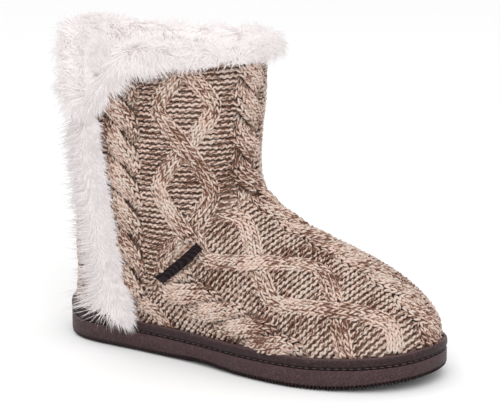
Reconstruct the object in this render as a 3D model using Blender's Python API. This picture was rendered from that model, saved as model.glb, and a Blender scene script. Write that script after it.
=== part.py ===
"""A right-foot slipper boot: moulded sole, insole, knitted upper, fur cuff, fur side strip and woven label.

The toe points along -Y, the outer (lateral) side along -X and +Z is up. The origin is on the floor under the
middle of the shaft, in the flat of the heel. Lengths are in metres.

Most pieces are lofted from rings of points. A ring starts at the heel tip, runs along the lateral side to
the toe tip and comes back along the medial side, with its points evenly spaced. Points with the same number
form a column.
"""

import math

import bmesh
import bpy
import numpy as np
from mathutils import Vector

# Sole
SOLE_LENGTH = 0.264
BALL_WIDTH = 0.101
HEEL_WIDTH = 0.075
HEEL_REACH = 0.069      # origin to the back of the heel
SOLE_HEIGHT = 0.020     # floor to the top of the rim, at the ball
HEEL_LIP = 0.0045       # extra rim height behind the heel
TOE_SPRING = 0.009
ARCH_RISE = 0.0015
FLOOR_THICKNESS = 0.010  # rubber under the foot
RIM_THICKNESS = 0.003
RIM_BAND = 0.0052       # height of the band above the stitched groove
GROOVE_HEIGHT = 0.0014
GROOVE_DEPTH = 0.0012
EDGE_ROUND = 0.003      # round along the sole's lower edge
TOE_DRIFT = 0.005       # toe tip towards the big toe

# Upper
WALL = 0.004            # knit and its backing
COLLAR_HEIGHT = 0.192
SHAFT_DEPTH = 0.133
SHAFT_WIDTH = 0.099
INSTEP_HEIGHT = 0.098
RIDGE_DRIFT = 0.007     # top line of the vamp towards the big toe
VAMP_ROUNDNESS = 2.25   # power of the arch over the foot
INSTEP_BLEND = 0.014    # fillet where the shaft meets the vamp, on top
SIDE_BLEND = 0.034      # and on both sides
REAR_BLEND = 0.001      # and behind
RIM_BLEND = 0.012       # height over which the knit leaves the rim

# Slit in the collar, above the side strip
STRIP_SETBACK = 0.0385  # from the back of the shaft to the middle of the strip, on the lateral side
SLIT_DEPTH = 0.036
SLIT_FLOOR = 0.010      # level width at the bottom of the slit
SLIT_ROUND = 0.042      # along the collar, from the slit's floor to its full height

# Insole
INSOLE_THICKNESS = 0.005
INSOLE_CROWN = 0.0012

# Fur cuff: lengths from the wall it wraps
CUFF_RISE = 0.0115
CUFF_OUT = 0.009
CUFF_IN = 0.0085
CUFF_OUTER_DROP = 0.005
CUFF_INNER_DROP = 0.020
CUFF_DIP = 0.012        # how far the crest sinks over the slit
CORNER_BULK = 0.25      # the cuff is this much fuller behind the slit
LOCK_LENGTH = 0.0075

# Fur side strip
STRIP_WIDTH = 0.026
STRIP_FLARE = 0.008     # wider at the foot
STRIP_LEAN = 0.010      # the strip's foot is this far in front of its head
STRIP_THICKNESS = 0.009

# Label
LABEL_LENGTH = 0.034
LABEL_WIDTH = 0.0088
LABEL_THICKNESS = 0.0008
LABEL_ANGLE = 49.0      # degrees round from the toe, lateral way
LABEL_HEIGHT = 0.066
LABEL_TILT = 36.0       # degrees above the horizon, rising to the front

FIT_GAP = 0.0003
SEAT_GAP = 0.0008       # between the cuff and the curved wall
PROBE_STEP = 0.002      # for reading the slope of the upper's face

STEPS = 28              # points along each side of a ring
FINE_STEPS = 300
WALL_ROWS = 20
LOCK_SEED = 7

# Side shape of the sole, as shares of half its local width.
SIDE_SHAPE = {
    "station": (0.00, 0.15, 0.30, 0.45, 0.60, 0.72, 0.85, 1.00),
    "lateral": (1.00, 1.00, 1.02, 0.97, 0.99, 1.03, 1.00, 0.95),
    "medial": (1.00, 1.00, 0.93, 0.82, 0.87, 0.97, 1.00, 1.00),
}
HEEL_ROUND = 0.15
TOE_ROUND = {"lateral": 0.30, "medial": 0.26}
END_POWER = 2.2

# Side of the sole from the floor up: shares of the wall's height below the groove, and of EDGE_ROUND.
SOLE_SIDE = {
    "rise": (0.00, 0.05, 0.18, 0.42, 1.00),
    "inset": (1.00, 0.62, 0.20, 0.00, 0.00),
}

# Top line of the vamp: share of SOLE_LENGTH from the heel, and of INSTEP_HEIGHT above the floor.
VAMP_LINE = {
    "station": (0.00, 0.26, 0.42, 0.51, 0.57, 0.66, 0.75, 0.85, 0.90, 0.945, 0.98, 1.00),
    "height": (0.55, 1.00, 1.17, 1.08, 0.965, 0.845, 0.765, 0.655, 0.585, 0.485, 0.385, 0.315),
}

# Shaft sections: share of COLLAR_HEIGHT, of half SHAFT_DEPTH back and front, and of half SHAFT_WIDTH.
SHAFT_LINE = {
    "height": (0.08, 0.24, 0.40, 0.57, 0.76, 1.00),
    "back": (0.97, 0.995, 0.975, 0.955, 0.97, 1.00),
    "front": (0.78, 0.84, 0.88, 0.915, 0.955, 1.00),
    "width": (0.69, 0.755, 0.83, 0.90, 0.96, 1.00),
}
SHAFT_POWER = 2.15

# The cuff's outline: up its outer leg, over and down inside, as shares of its out, rise and drop.
CUFF_OUTER = {
    "out": (0.55, 1.00, 1.10, 0.95, 0.50),
    "up": (-1.00, -0.45, 0.25, 0.72, 0.96),
}
CUFF_INNER = {
    "out": (-0.10, -0.62, -1.00, -1.00, -0.55),
    "up": (1.00, 0.86, 0.45, -0.35, -1.00),
}

# Bands of the cuff that carry locks, and how much each band's locks fall.
LOCK_BANDS = {
    "band": (2, 3, 5, 6, 7),
    "fall": (-1.0, -1.1, -0.6, 0.0, 0.0),
}

# Cross-section of the side strip: share of half its width and of its thickness.
STRIP_SECTION = {
    "across": (-1.00, -0.72, -0.30, 0.30, 0.72, 1.00),
    "proud": (0.10, 0.72, 1.00, 1.00, 0.72, 0.10),
}
STRIP_LOCKS = {
    "column": (0, 1, 3, 4),
    "sideways": (-1.0, -0.7, 0.7, 1.0),
}

# A lock's two lengths from its root: how far each bends, its share of the lock and its taper.
LOCK_STEPS = {
    "bend": (0.30, 1.00),
    "length": (0.45, 0.60),
    "taper": (0.80, 0.28),
}

FINISHES = {
    "rubber": ((0.075, 0.055, 0.057), 0.62),
    "fleece": ((0.82, 0.77, 0.74), 0.95),
    "knit": ((0.42, 0.32, 0.25), 0.90),
    "fur": ((0.88, 0.84, 0.83), 0.85),
    "label": ((0.035, 0.026, 0.028), 0.55),
}


def smoothstep(value):
    value = np.clip(value, 0.0, 1.0)
    return value * value * (3.0 - 2.0 * value)


def smooth_max(first, second, reach):
    """The larger of two lengths, with a fillet where they are within reach of each other."""
    near = np.clip(1.0 - np.abs(first - second) / reach, 0.0, 1.0)
    return np.maximum(first, second) + near * near * reach / 4.0


def read(table, key, column, at):
    """A smooth curve through a table's rows, at the given value of its key column."""
    x = np.asarray(table[key])
    y = np.asarray(table[column])
    slope = np.gradient(y, x)
    at = np.clip(at, x[0], x[-1])
    i = np.clip(np.searchsorted(x, at) - 1, 0, len(x) - 2)
    step = x[i + 1] - x[i]
    t = (at - x[i]) / step
    return (
        (2 * t**3 - 3 * t**2 + 1) * y[i]
        + (t**3 - 2 * t**2 + t) * step * slope[i]
        + (3 * t**2 - 2 * t**3) * y[i + 1]
        + (t**3 - t**2) * step * slope[i + 1]
    )


def local_width(station):
    share = smoothstep((station - 0.25) / 0.40)
    return HEEL_WIDTH + (BALL_WIDTH - HEEL_WIDTH) * share


def end_round(station, toe_round):
    """Closes the outline at both ends with superellipse arcs: 1 along the sides and 0 at the tips."""
    heel = np.clip(1.0 - station / HEEL_ROUND, 0.0, 1.0)
    toe = np.clip((station - 1.0 + toe_round) / toe_round, 0.0, 1.0)
    return ((1.0 - heel**END_POWER) * (1.0 - toe**END_POWER)) ** (1.0 / END_POWER)


def middle_line(station):
    """Sideways drift of the sole's middle line."""
    return TOE_DRIFT * smoothstep((station - 0.55) / 0.45)


def half_width(station, side):
    """Distance from the middle line to one edge of the sole."""
    shape = read(SIDE_SHAPE, "station", side, station)
    return shape * local_width(station) / 2.0 * end_round(station, TOE_ROUND[side])


def station_y(station):
    return HEEL_REACH - station * SOLE_LENGTH


def sole_edge(side):
    """A fine line along one side of the sole's outline, from the heel tip to the toe tip, as (x, y) rows."""
    station = (1.0 - np.cos(np.linspace(0.0, math.pi, FINE_STEPS))) / 2.0
    out = {"lateral": -1.0, "medial": 1.0}[side] * half_width(station, side)
    return np.column_stack([middle_line(station) + out, station_y(station)])


def upper_edges():
    """Fine lines along both sides of the upper's foot, where it stands in the sole's cup."""
    ring = np.vstack([sole_edge("lateral"), sole_edge("medial")[-2:0:-1]])
    ring = ring - plan_normals(ring) * (RIM_THICKNESS + FIT_GAP)
    return {"lateral": ring[:FINE_STEPS], "medial": np.vstack([ring[:1], ring[: FINE_STEPS - 2 : -1]])}


def even_points(path):
    """Points evenly spaced along a path, from its first point to its last."""
    travelled = np.concatenate([[0.0], np.cumsum(np.linalg.norm(np.diff(path, axis=0), axis=1))])
    marks = np.linspace(0.0, travelled[-1], STEPS + 1)
    return np.column_stack([np.interp(marks, travelled, column) for column in path.T])


def join_sides(lateral, medial):
    """A ring from two heel-to-toe paths: out along the lateral one and back along the medial one."""
    return np.vstack([even_points(lateral), even_points(medial)[-2:0:-1]])


def plan_normals(ring):
    """Outward level normals of a ring that runs anticlockwise from above."""
    along = np.roll(ring, -1, axis=0) - np.roll(ring, 1, axis=0)
    normal = np.column_stack([along[:, 1], -along[:, 0]])
    return normal / np.linalg.norm(normal, axis=1)[:, None]


def inset_ring(distance):
    """The sole's outline, moved in by a distance."""
    ring = join_sides(sole_edge("lateral"), sole_edge("medial"))
    return ring - plan_normals(ring) * distance


def station_at(y):
    return np.clip((HEEL_REACH - y) / SOLE_LENGTH, 0.0, 1.0)


def column_stations():
    """The station that each column of a ring starts from."""
    return station_at(inset_ring(0.0)[:, 1])


def toe_lift(station):
    return TOE_SPRING * np.clip((station - 0.76) / 0.24, 0.0, 1.0) ** 1.8


def underside(station):
    """Height of the sole's underside: flat at the heel and the ball, up at the arch, heel edge and toe."""
    arch = smoothstep((station - 0.37) / 0.07) * smoothstep((0.55 - station) / 0.07)
    heel = np.clip((0.05 - station) / 0.05, 0.0, 1.0) ** 2
    return toe_lift(station) + ARCH_RISE * arch + HEEL_LIP / 3.0 * heel


def rim_height(station):
    lip = np.clip((0.12 - station) / 0.12, 0.0, 1.0) ** 1.5
    return SOLE_HEIGHT + toe_lift(station) + HEEL_LIP * lip


def cup_floor(station):
    return toe_lift(station) + FLOOR_THICKNESS


def foot_reach(angle, height):
    """How far a level ray from the origin's upright runs inside the foot part of the upper."""
    inset = RIM_THICKNESS + FIT_GAP
    near = np.zeros_like(angle)
    far = np.full_like(angle, SOLE_LENGTH)
    for _ in range(32):
        reach = (near + far) / 2.0
        x = -reach * np.sin(angle)
        y = -reach * np.cos(angle)
        along = (HEEL_REACH - inset - y) / (SOLE_LENGTH - 2.0 * inset)
        station = np.clip(along, 0.0, 1.0)
        base = rim_height(station)
        top = INSTEP_HEIGHT * read(VAMP_LINE, "station", "height", station)
        share = np.clip((height - base) / np.maximum(top - base, FIT_GAP), 0.0, 1.0)
        arch = (1.0 - share**VAMP_ROUNDNESS) ** (1.0 / VAMP_ROUNDNESS)
        ridge = RIDGE_DRIFT * smoothstep((station - 0.35) / 0.45)
        lateral_edge = middle_line(station) - half_width(station, "lateral") + inset
        medial_edge = middle_line(station) + half_width(station, "medial") - inset
        low = ridge + (lateral_edge - ridge) * arch
        high = ridge + (medial_edge - ridge) * arch
        inside = (x > low) & (x < high) & (along > 0.0) & (along < 1.0) & (height < top)
        near = np.where(inside, reach, near)
        far = np.where(inside, far, reach)
    return near


def shaft_reach(angle, height):
    """How far the same ray runs inside the shaft and heel."""
    share = height / COLLAR_HEIGHT
    back = SHAFT_DEPTH / 2.0 * read(SHAFT_LINE, "height", "back", share)
    front = SHAFT_DEPTH / 2.0 * read(SHAFT_LINE, "height", "front", share)
    side = SHAFT_WIDTH / 2.0 * read(SHAFT_LINE, "height", "width", share)
    length = np.where(np.cos(angle) > 0.0, front, back)
    across = np.abs(np.sin(angle) / side) ** SHAFT_POWER
    along = np.abs(np.cos(angle) / length) ** SHAFT_POWER
    return (across + along) ** (-1.0 / SHAFT_POWER)


def wall_reach(angle, height):
    """Radius of the upper's outer face at an angle round from the toe (lateral way) and a height."""
    angle, height = np.broadcast_arrays(np.asarray(angle, float), np.asarray(height, float))
    blend = INSTEP_BLEND + (SIDE_BLEND - INSTEP_BLEND) * smoothstep(np.abs(np.sin(angle)) / 0.6)
    in_front = smoothstep(np.cos(angle) / 0.5)
    return smooth_max(shaft_reach(angle, height), foot_reach(angle, height), REAR_BLEND + blend * in_front)


def angle_behind(offset):
    """The angle at which the shaft's lateral side is an offset behind the origin."""
    angles = np.radians(np.arange(60.0, 160.0, 0.25))
    behind = -wall_reach(angles, COLLAR_HEIGHT * 0.6) * np.cos(angles)
    return float(angles[np.argmin(np.abs(behind - offset))])


def past_strip(angle):
    """Distance along the collar from the side strip, positive towards the heel."""
    turn = (angle - STRIP_ANGLE + math.pi) % (2.0 * math.pi) - math.pi
    return turn * (SHAFT_WIDTH + SHAFT_DEPTH) / 4.0


def slit_share(angle):
    """1 at the slit's floor and 0 along the rest of the collar."""
    away = np.abs(past_strip(angle)) - SLIT_FLOOR / 2.0
    return smoothstep(1.0 - away / SLIT_ROUND)


def collar_line(angle):
    """Height of the knit's top edge: level, with a rounded slit above the side strip."""
    return COLLAR_HEIGHT - SLIT_DEPTH * slit_share(angle)


def on_level(ring, height):
    return np.column_stack([ring, np.broadcast_to(height, len(ring))])


def polar(angle, reach, height):
    return np.column_stack([-reach * np.sin(angle), -reach * np.cos(angle), height])


def foot_edge_reach(angle):
    """Radius of the upper's foot, in the sole's cup, at an angle round from the toe."""
    edge = np.vstack([EDGES["lateral"], EDGES["medial"]])
    edge_angle = np.arctan2(-edge[:, 0], -edge[:, 1])
    order = np.argsort(edge_angle)
    radius = np.linalg.norm(edge, axis=1)
    return np.interp(angle, edge_angle[order], radius[order], period=2.0 * math.pi)


def rim_under(angle):
    return rim_height(station_at(-foot_edge_reach(angle) * np.cos(angle)))


def face_reach(angle, height):
    """wall_reach, led into the sole's cup over the last RIM_BLEND above the rim."""
    leave = smoothstep((height - rim_under(angle)) / RIM_BLEND)
    return foot_edge_reach(angle) * (1.0 - leave) + wall_reach(angle, height) * leave


def row_share(row):
    """Share of the way from the rim to the collar. The rows are closer together near the sole."""
    return (row / WALL_ROWS) ** 1.35


def wall_height(angle, row):
    rim = rim_under(angle)
    return rim + (collar_line(angle) - rim) * row_share(row)


def wall_path(side, row):
    """A fine line along one side of the upper's outer face, from the heel to the toe."""
    angle = np.arctan2(-EDGES[side][:, 0], -EDGES[side][:, 1])
    height = wall_height(angle, row)
    return polar(angle, face_reach(angle, height), height)


def outer_wall():
    """Rings of the upper's outer face, from the cup's floor to the collar."""
    station = column_stations()
    base = inset_ring(RIM_THICKNESS + FIT_GAP)
    rings = [on_level(base, cup_floor(station) + FIT_GAP), on_level(base, rim_height(station))]
    for row in range(1, WALL_ROWS + 1):
        rings.append(join_sides(wall_path("lateral", row), wall_path("medial", row)))
    return np.array(rings)


def inner_wall(outer):
    """The outer face moved in by the wall's thickness: level in the cup and square to the surface above."""
    around = np.roll(outer, -1, axis=1) - np.roll(outer, 1, axis=1)
    upward = np.gradient(outer, axis=0)
    normal = np.cross(around, upward)
    normal /= np.linalg.norm(normal, axis=2)[:, :, None]
    inner = outer - normal * WALL
    inner[:2, :, :2] = inset_ring(RIM_THICKNESS + FIT_GAP + WALL)
    inner[:2, :, 2] = outer[:2, :, 2]
    inner[-1, :, 2] = outer[-1, :, 2]
    return inner


def down_wall(face, drop):
    """Points of an upper's face at a depth below the collar, one on each column."""
    points = []
    for column in range(face.shape[1]):
        line = face[-6:, column]
        height = line[-1, 2] - drop
        points.append([np.interp(height, line[:, 2], line[:, axis]) for axis in range(3)])
    return np.array(points)


def make_material(name):
    colour, roughness = FINISHES[name]
    material = bpy.data.materials.new(name)
    material.use_nodes = True
    shader = material.node_tree.nodes["Principled BSDF"]
    shader.inputs["Base Color"].default_value = (*colour, 1.0)
    shader.inputs["Roughness"].default_value = roughness
    material.diffuse_color = (*colour, 1.0)
    return material


def loft(rings, closed):
    """A mesh through rings of equal length. The last ring joins the first, or else both ends get floors."""
    mesh = bmesh.new()
    rows = [[mesh.verts.new(point) for point in ring] for ring in rings]
    count = len(rows[0])
    pairs = list(zip(rows, rows[1:]))
    if closed:
        pairs.append((rows[-1], rows[0]))
    for below, above in pairs:
        for i in range(count):
            j = (i + 1) % count
            mesh.faces.new((below[i], below[j], above[j], above[i]))
    if not closed:
        add_floor(mesh, rows[0], facing_up=False)
        add_floor(mesh, rows[-1], facing_up=True)
    return mesh


def add_floor(mesh, row, facing_up):
    """Fills a ring with strips that run from its first half to its second."""
    count = len(row)
    for i in range(count // 2):
        corners = [row[i], row[i + 1], row[(count - i - 1) % count], row[(count - i) % count]]
        kept = [v for n, v in enumerate(corners) if v not in corners[:n]]
        mesh.faces.new(kept if facing_up else kept[::-1])


def place(name, mesh, finish, smooth_degrees=35.0):
    bmesh.ops.recalc_face_normals(mesh, faces=mesh.faces)
    data = bpy.data.meshes.new(name)
    mesh.to_mesh(data)
    mesh.free()
    data.shade_smooth()
    data.set_sharp_from_angle(angle=math.radians(smooth_degrees))
    data.materials.append(make_material(finish))
    piece = bpy.data.objects.new(name, data)
    bpy.context.scene.collection.objects.link(piece)
    return piece


def make_sole():
    station = column_stations()
    bottom = underside(station)
    rim = rim_height(station)
    groove_top = rim - RIM_BAND
    groove_bottom = groove_top - GROOVE_HEIGHT
    rings = []
    for rise, inset in zip(SOLE_SIDE["rise"], SOLE_SIDE["inset"]):
        height = bottom + (groove_bottom - bottom) * rise
        rings.append(on_level(inset_ring(EDGE_ROUND * inset), height))
    rings.append(on_level(inset_ring(GROOVE_DEPTH), groove_bottom + GROOVE_HEIGHT * 0.2))
    rings.append(on_level(inset_ring(GROOVE_DEPTH), groove_top - GROOVE_HEIGHT * 0.2))
    rings.append(on_level(inset_ring(0.0), groove_top))
    rings.append(on_level(inset_ring(0.0), rim - RIM_BAND * 0.25))
    rings.append(on_level(inset_ring(RIM_THICKNESS * 0.35), rim))
    rings.append(on_level(inset_ring(RIM_THICKNESS), rim))
    rings.append(on_level(inset_ring(RIM_THICKNESS), cup_floor(station)))
    place("sole", loft(rings, closed=False), "rubber")


def make_insole():
    station = column_stations()
    edge = RIM_THICKNESS + WALL + 2.0 * FIT_GAP
    seat = cup_floor(station) + FIT_GAP
    top = seat + INSOLE_THICKNESS
    rings = [
        on_level(inset_ring(edge), seat),
        on_level(inset_ring(edge), top - INSOLE_THICKNESS * 0.3),
        on_level(inset_ring(edge + INSOLE_THICKNESS * 0.4), top),
        on_level(inset_ring(edge + HEEL_WIDTH * 0.16), top + INSOLE_CROWN),
    ]
    place("insole", loft(rings, closed=False), "fleece")


def make_upper(outer, inner):
    place("upper", loft(list(outer) + list(inner[::-1]), closed=True), "knit")


def grow_lock(mesh, face, fall, sway, length):
    """Draws a face out into a lock of fur that thins towards its tip and bends the way the fur falls."""
    out = face.normal.copy()
    for bend, share, taper in zip(*LOCK_STEPS.values()):
        face = bmesh.ops.extrude_discrete_faces(mesh, faces=[face])["faces"][0]
        middle = face.calc_center_median()
        way = (out * (1.0 - 0.6 * bend) + fall * bend + sway * bend).normalized()
        for corner in face.verts:
            corner.co = middle + (corner.co - middle) * taper + way * length * share
        face.normal_update()


def cuff_rings(outer, inner):
    """Rings of the cuff: up the wall's outside, out, over the crest, in and back up the wall's inside."""
    edge = outer[-1]
    angle = np.arctan2(-edge[:, 0], -edge[:, 1])
    collar = edge[:, 2]
    normal = on_level(plan_normals(edge[:, :2]), 0.0)
    slit = slit_share(angle)
    behind = past_strip(angle) / SLIT_ROUND
    bulk = 1.0 + CORNER_BULK * (np.exp(-((behind - 0.8) ** 2)) + 0.3 * np.exp(-((behind + 0.8) ** 2)))
    crest = CUFF_RISE * bulk + (SLIT_DEPTH - CUFF_DIP) * slit

    def off_wall(points, distance):
        return points + normal * distance

    def free(base, out, up):
        return np.column_stack([(base + normal * out[:, None])[:, :2], collar + up])

    rings = [on_level(off_wall(edge, SEAT_GAP)[:, :2], collar + SEAT_GAP)]
    rings.append(off_wall(down_wall(outer, CUFF_OUTER_DROP * 0.9), SEAT_GAP))
    for out, up in zip(CUFF_OUTER["out"], CUFF_OUTER["up"]):
        lift = up * crest if up > 0.0 else up * CUFF_OUTER_DROP * bulk
        rings.append(free(edge, SEAT_GAP + CUFF_OUT * out * bulk, lift))
    for out, up in zip(CUFF_INNER["out"], CUFF_INNER["up"]):
        lift = up * crest if up > 0.0 else up * CUFF_INNER_DROP
        rings.append(free(edge, -WALL + CUFF_IN * out * np.ones(len(edge)), lift))
    rings.append(off_wall(down_wall(inner, CUFF_INNER_DROP * 0.9), -SEAT_GAP))
    rings.append(on_level(off_wall(inner[-1], -SEAT_GAP)[:, :2], collar + SEAT_GAP))
    return rings


def make_cuff(outer, inner):
    rings = cuff_rings(outer, inner)
    mesh = loft(rings, closed=True)
    bmesh.ops.recalc_face_normals(mesh, faces=mesh.faces)
    mesh.faces.ensure_lookup_table()
    random = np.random.default_rng(LOCK_SEED)
    count = len(rings[0])
    chosen = []
    for band, fall in zip(LOCK_BANDS["band"], LOCK_BANDS["fall"]):
        for column in range(band % 2, count, 2):
            chosen.append((mesh.faces[band * count + column], fall))
    for face, fall in chosen:
        sway = Vector((*random.uniform(-0.35, 0.35, size=2), 0.0))
        grow_lock(mesh, face, Vector((0.0, 0.0, fall)), sway, LOCK_LENGTH * random.uniform(0.7, 1.1))
    place("fur_cuff", mesh, "fur", smooth_degrees=60.0)


def surface_frame(angle, height):
    """A point of the upper's outer face with its outward normal and its level tangent (towards the heel)."""
    turn = PROBE_STEP / (SHAFT_WIDTH / 2.0)

    def at(turn, rise):
        reach = face_reach(angle + turn, height + rise)
        return polar(np.array([angle + turn]), reach, np.array([height + rise]))[0]

    point = at(0.0, 0.0)
    level = at(turn, 0.0) - at(-turn, 0.0)
    level /= np.linalg.norm(level)
    upward = at(0.0, PROBE_STEP) - at(0.0, -PROBE_STEP)
    normal = np.cross(upward, level)
    normal /= np.linalg.norm(normal)
    if normal @ (point * (1.0, 1.0, 0.0)) < 0.0:
        normal = -normal
    return point, normal, level


def strip_rings():
    """Rings of the side strip from its foot to its head: along its front, then back along the wall."""
    head = COLLAR_HEIGHT - SLIT_DEPTH - CUFF_OUTER_DROP * (1.0 + CORNER_BULK) - 0.6 * LOCK_LENGTH
    rows = [row for row in range(WALL_ROWS) if wall_height(STRIP_ANGLE, row) < head]
    foot_angle = angle_behind(SHAFT_DEPTH / 2.0 - STRIP_SETBACK - STRIP_LEAN)
    across = np.asarray(STRIP_SECTION["across"])
    proud = np.asarray(STRIP_SECTION["proud"])
    rings = []
    for row in rows:
        share = row / rows[-1]
        half = (STRIP_WIDTH + STRIP_FLARE * (1.0 - share) ** 2) / 2.0
        end_round = 0.55 + 0.45 * math.sqrt(1.0 - abs(2.0 * share - 1.0) ** 8)
        angle = foot_angle + (STRIP_ANGLE - foot_angle) * share
        angle = angle + np.arctan(across * half / (SHAFT_WIDTH / 2.0))
        height = wall_height(angle, row) + FIT_GAP
        reach = face_reach(angle, height) + 2.0 * FIT_GAP
        front = polar(angle, reach + STRIP_THICKNESS * proud * end_round, height)
        back = polar(angle, reach, height)
        rings.append(np.vstack([front, back[::-1]]))
    return rings


def make_strip():
    """A half-round band of fur down the side seam, with locks combed outwards and down in a herringbone."""
    rings = strip_rings()
    mesh = loft(rings, closed=False)
    bmesh.ops.recalc_face_normals(mesh, faces=mesh.faces)
    mesh.faces.ensure_lookup_table()
    random = np.random.default_rng(LOCK_SEED)
    count = len(rings[0])
    chosen = []
    first = next(row for row, ring in enumerate(rings) if ring[0, 2] > rings[0][0, 2] + LOCK_LENGTH)
    for row in range(first, len(rings) - 1):
        for column, sideways in zip(STRIP_LOCKS["column"], STRIP_LOCKS["sideways"]):
            if (row + column) % 2 == 0:
                chosen.append((mesh.faces[row * count + column], sideways))
    outwards = Vector((-math.sin(STRIP_ANGLE), -math.cos(STRIP_ANGLE), 0.0))
    backwards = Vector((-math.cos(STRIP_ANGLE), math.sin(STRIP_ANGLE), 0.0))
    for face, sideways in chosen:
        fall = backwards * sideways + outwards * 0.8 + Vector((0.0, 0.0, -0.7))
        grow_lock(mesh, face, fall, Vector(), LOCK_LENGTH * random.uniform(0.6, 0.9))
    place("fur_strip", mesh, "fur", smooth_degrees=60.0)


def make_label():
    """A thin woven tab that follows the side of the vamp."""
    angle = math.radians(LABEL_ANGLE)
    centre, normal, level = surface_frame(angle, LABEL_HEIGHT)
    upward = np.cross(level, normal)
    upward *= math.copysign(1.0, upward[2])
    tilt = math.radians(LABEL_TILT)
    along = -level * math.cos(tilt) + upward * math.sin(tilt)
    across = np.cross(normal, along)
    columns, rows = 9, 3
    outer, inner = [], []
    for i in range(columns):
        for j in range(rows):
            spot = centre + along * LABEL_LENGTH * (i / (columns - 1) - 0.5)
            spot = spot + across * LABEL_WIDTH * (j / (rows - 1) - 0.5)
            turn = math.atan2(-spot[0], -spot[1])
            seat, out, _ = surface_frame(turn, spot[2])
            inner.append(seat + out * 2.0 * FIT_GAP)
            outer.append(seat + out * (2.0 * FIT_GAP + LABEL_THICKNESS))
    mesh = bmesh.new()
    top = [mesh.verts.new(p) for p in outer]
    low = [mesh.verts.new(p) for p in inner]

    def cell(side, i, j):
        a = i * rows + j
        b = a + rows
        return [side[a], side[b], side[b + 1], side[a + 1]]

    for i in range(columns - 1):
        for j in range(rows - 1):
            mesh.faces.new(cell(top, i, j))
            mesh.faces.new(cell(low, i, j)[::-1])
    edge = [i * rows for i in range(columns)]
    edge += [(columns - 1) * rows + j for j in range(1, rows)]
    edge += [i * rows + rows - 1 for i in range(columns - 2, -1, -1)]
    edge += [j for j in range(rows - 2, 0, -1)]
    for a, b in zip(edge, edge[1:] + edge[:1]):
        mesh.faces.new((top[a], low[a], low[b], top[b]))
    place("label", mesh, "label")


for leftover in list(bpy.data.objects):
    bpy.data.objects.remove(leftover)

EDGES = upper_edges()
STRIP_ANGLE = angle_behind(SHAFT_DEPTH / 2.0 - STRIP_SETBACK)
outer_face = outer_wall()
inner_face = inner_wall(outer_face)

make_sole()
make_insole()
make_upper(outer_face, inner_face)
make_cuff(outer_face, inner_face)
make_strip()
make_label()
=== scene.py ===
"""The looks of a knitted slipper boot with a fur cuff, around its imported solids. Lengths are in metres."""
import math

import bmesh
import bpy
import numpy as np
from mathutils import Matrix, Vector
from mathutils.bvhtree import BVHTree


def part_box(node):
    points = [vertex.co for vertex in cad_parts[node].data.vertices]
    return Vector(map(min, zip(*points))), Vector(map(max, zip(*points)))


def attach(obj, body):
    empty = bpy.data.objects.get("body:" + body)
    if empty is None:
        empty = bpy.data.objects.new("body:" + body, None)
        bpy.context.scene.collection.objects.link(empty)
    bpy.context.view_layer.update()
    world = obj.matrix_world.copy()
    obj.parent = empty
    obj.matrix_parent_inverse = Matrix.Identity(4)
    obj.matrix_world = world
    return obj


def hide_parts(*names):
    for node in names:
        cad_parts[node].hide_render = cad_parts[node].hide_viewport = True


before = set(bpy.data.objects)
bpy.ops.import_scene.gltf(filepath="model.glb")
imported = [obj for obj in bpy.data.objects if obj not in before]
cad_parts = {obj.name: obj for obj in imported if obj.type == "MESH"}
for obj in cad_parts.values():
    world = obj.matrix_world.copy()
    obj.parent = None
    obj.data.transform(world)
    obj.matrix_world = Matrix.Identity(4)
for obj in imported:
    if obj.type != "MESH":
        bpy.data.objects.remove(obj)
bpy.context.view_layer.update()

# Sole: one moulding of soft dark rubber, a cup that the knit is glued into. A groove runs all round it under
# the rim and holds a line of thread, and shallow ribs cross the tread and notch its lower edge.

FAR_OUT = 0.3  # beyond the whole shoe, where rays start
OUTLINE_STEP = 0.0006
OUTLINE_SPREAD = 0.006  # along which its outline is evened out
OUTLINE_PROUD = 0.0002
OUTLINE_TURN = 2.0  # degrees between the rays round heel and toe
OUTLINE_WALK = 0.002  # between the rays along its sides
LEVEL_POINTS = 8  # points of the outline to one at which rim and underside are read
UNDER_INSET = 0.97  # how much smaller the ring is that the underside is read along
HEEL_CENTRE_IN = 0.038  # from the back of the sole to the middle of its round heel
TOE_CENTRE_IN = 0.052
SIDE_LEVEL = 0.4  # share of the sole's height at which its outline is read
RIB_PITCH = 0.0023
RIB_DEPTH = 0.0019
RIB_STEEPNESS = 1.4
RIB_LIFT = 0.0004  # the ribs lift the rows that rise no more than this
HEEL_RIBS = 0.25  # share of that depth under the heel
WAIST = 0.30  # where the ribs deepen, as a share of the way from heel to toe
WAIST_LENGTH = 0.15
RIM_THICKNESS = 0.003
CUP_DEPTH = 0.0095  # from the rim down to the cup's floor
TOE_RIM_DIP = 0.003  # how much lower the rim runs round the toe
TOE_DIP_START = -0.150
TOE_DIP_LENGTH = 0.040
BAND = 0.0052  # from the rim down to the groove
GROOVE = 0.0020
RUBBER_COLOUR = (0.044, 0.022, 0.025)
RUBBER_WEAR_AND_HIGHLIGHT = (0.080, 0.042, 0.046)
RUBBER_DARK = (0.014, 0.0052, 0.0060)
RUBBER_SPECKS = 2200.0  # scales of its textures, finest first
RUBBER_GRAIN = 1300.0
RUBBER_SCUFFS = 420.0
RUBBER_CLOUDS = 60.0
THREAD_COLOUR = (0.022, 0.015, 0.016)
THREAD_PITCH = 0.0046
THREAD_LENGTH = 0.0036
THREAD_RADIUS = 0.00048
THREAD_DIVE = 0.001152  # how deep a stitch's ends go into the groove
THREAD_INSET = 0.0008


def surface_of(node):
    """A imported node's surface, for reading its shape along rays."""
    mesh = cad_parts[node].data
    return BVHTree.FromPolygons([v.co for v in mesh.vertices], [p.vertices for p in mesh.polygons])


def reach(surface, centre, way):
    """How far a surface lies from a point, along a direction, met from outside."""
    centre, way = np.asarray(centre, float), np.asarray(way, float)
    _, _, _, travelled = surface.ray_cast(Vector(centre + way * FAR_OUT), Vector(-way), 2.0 * FAR_OUT)
    return math.nan if travelled is None else FAR_OUT - travelled


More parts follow.
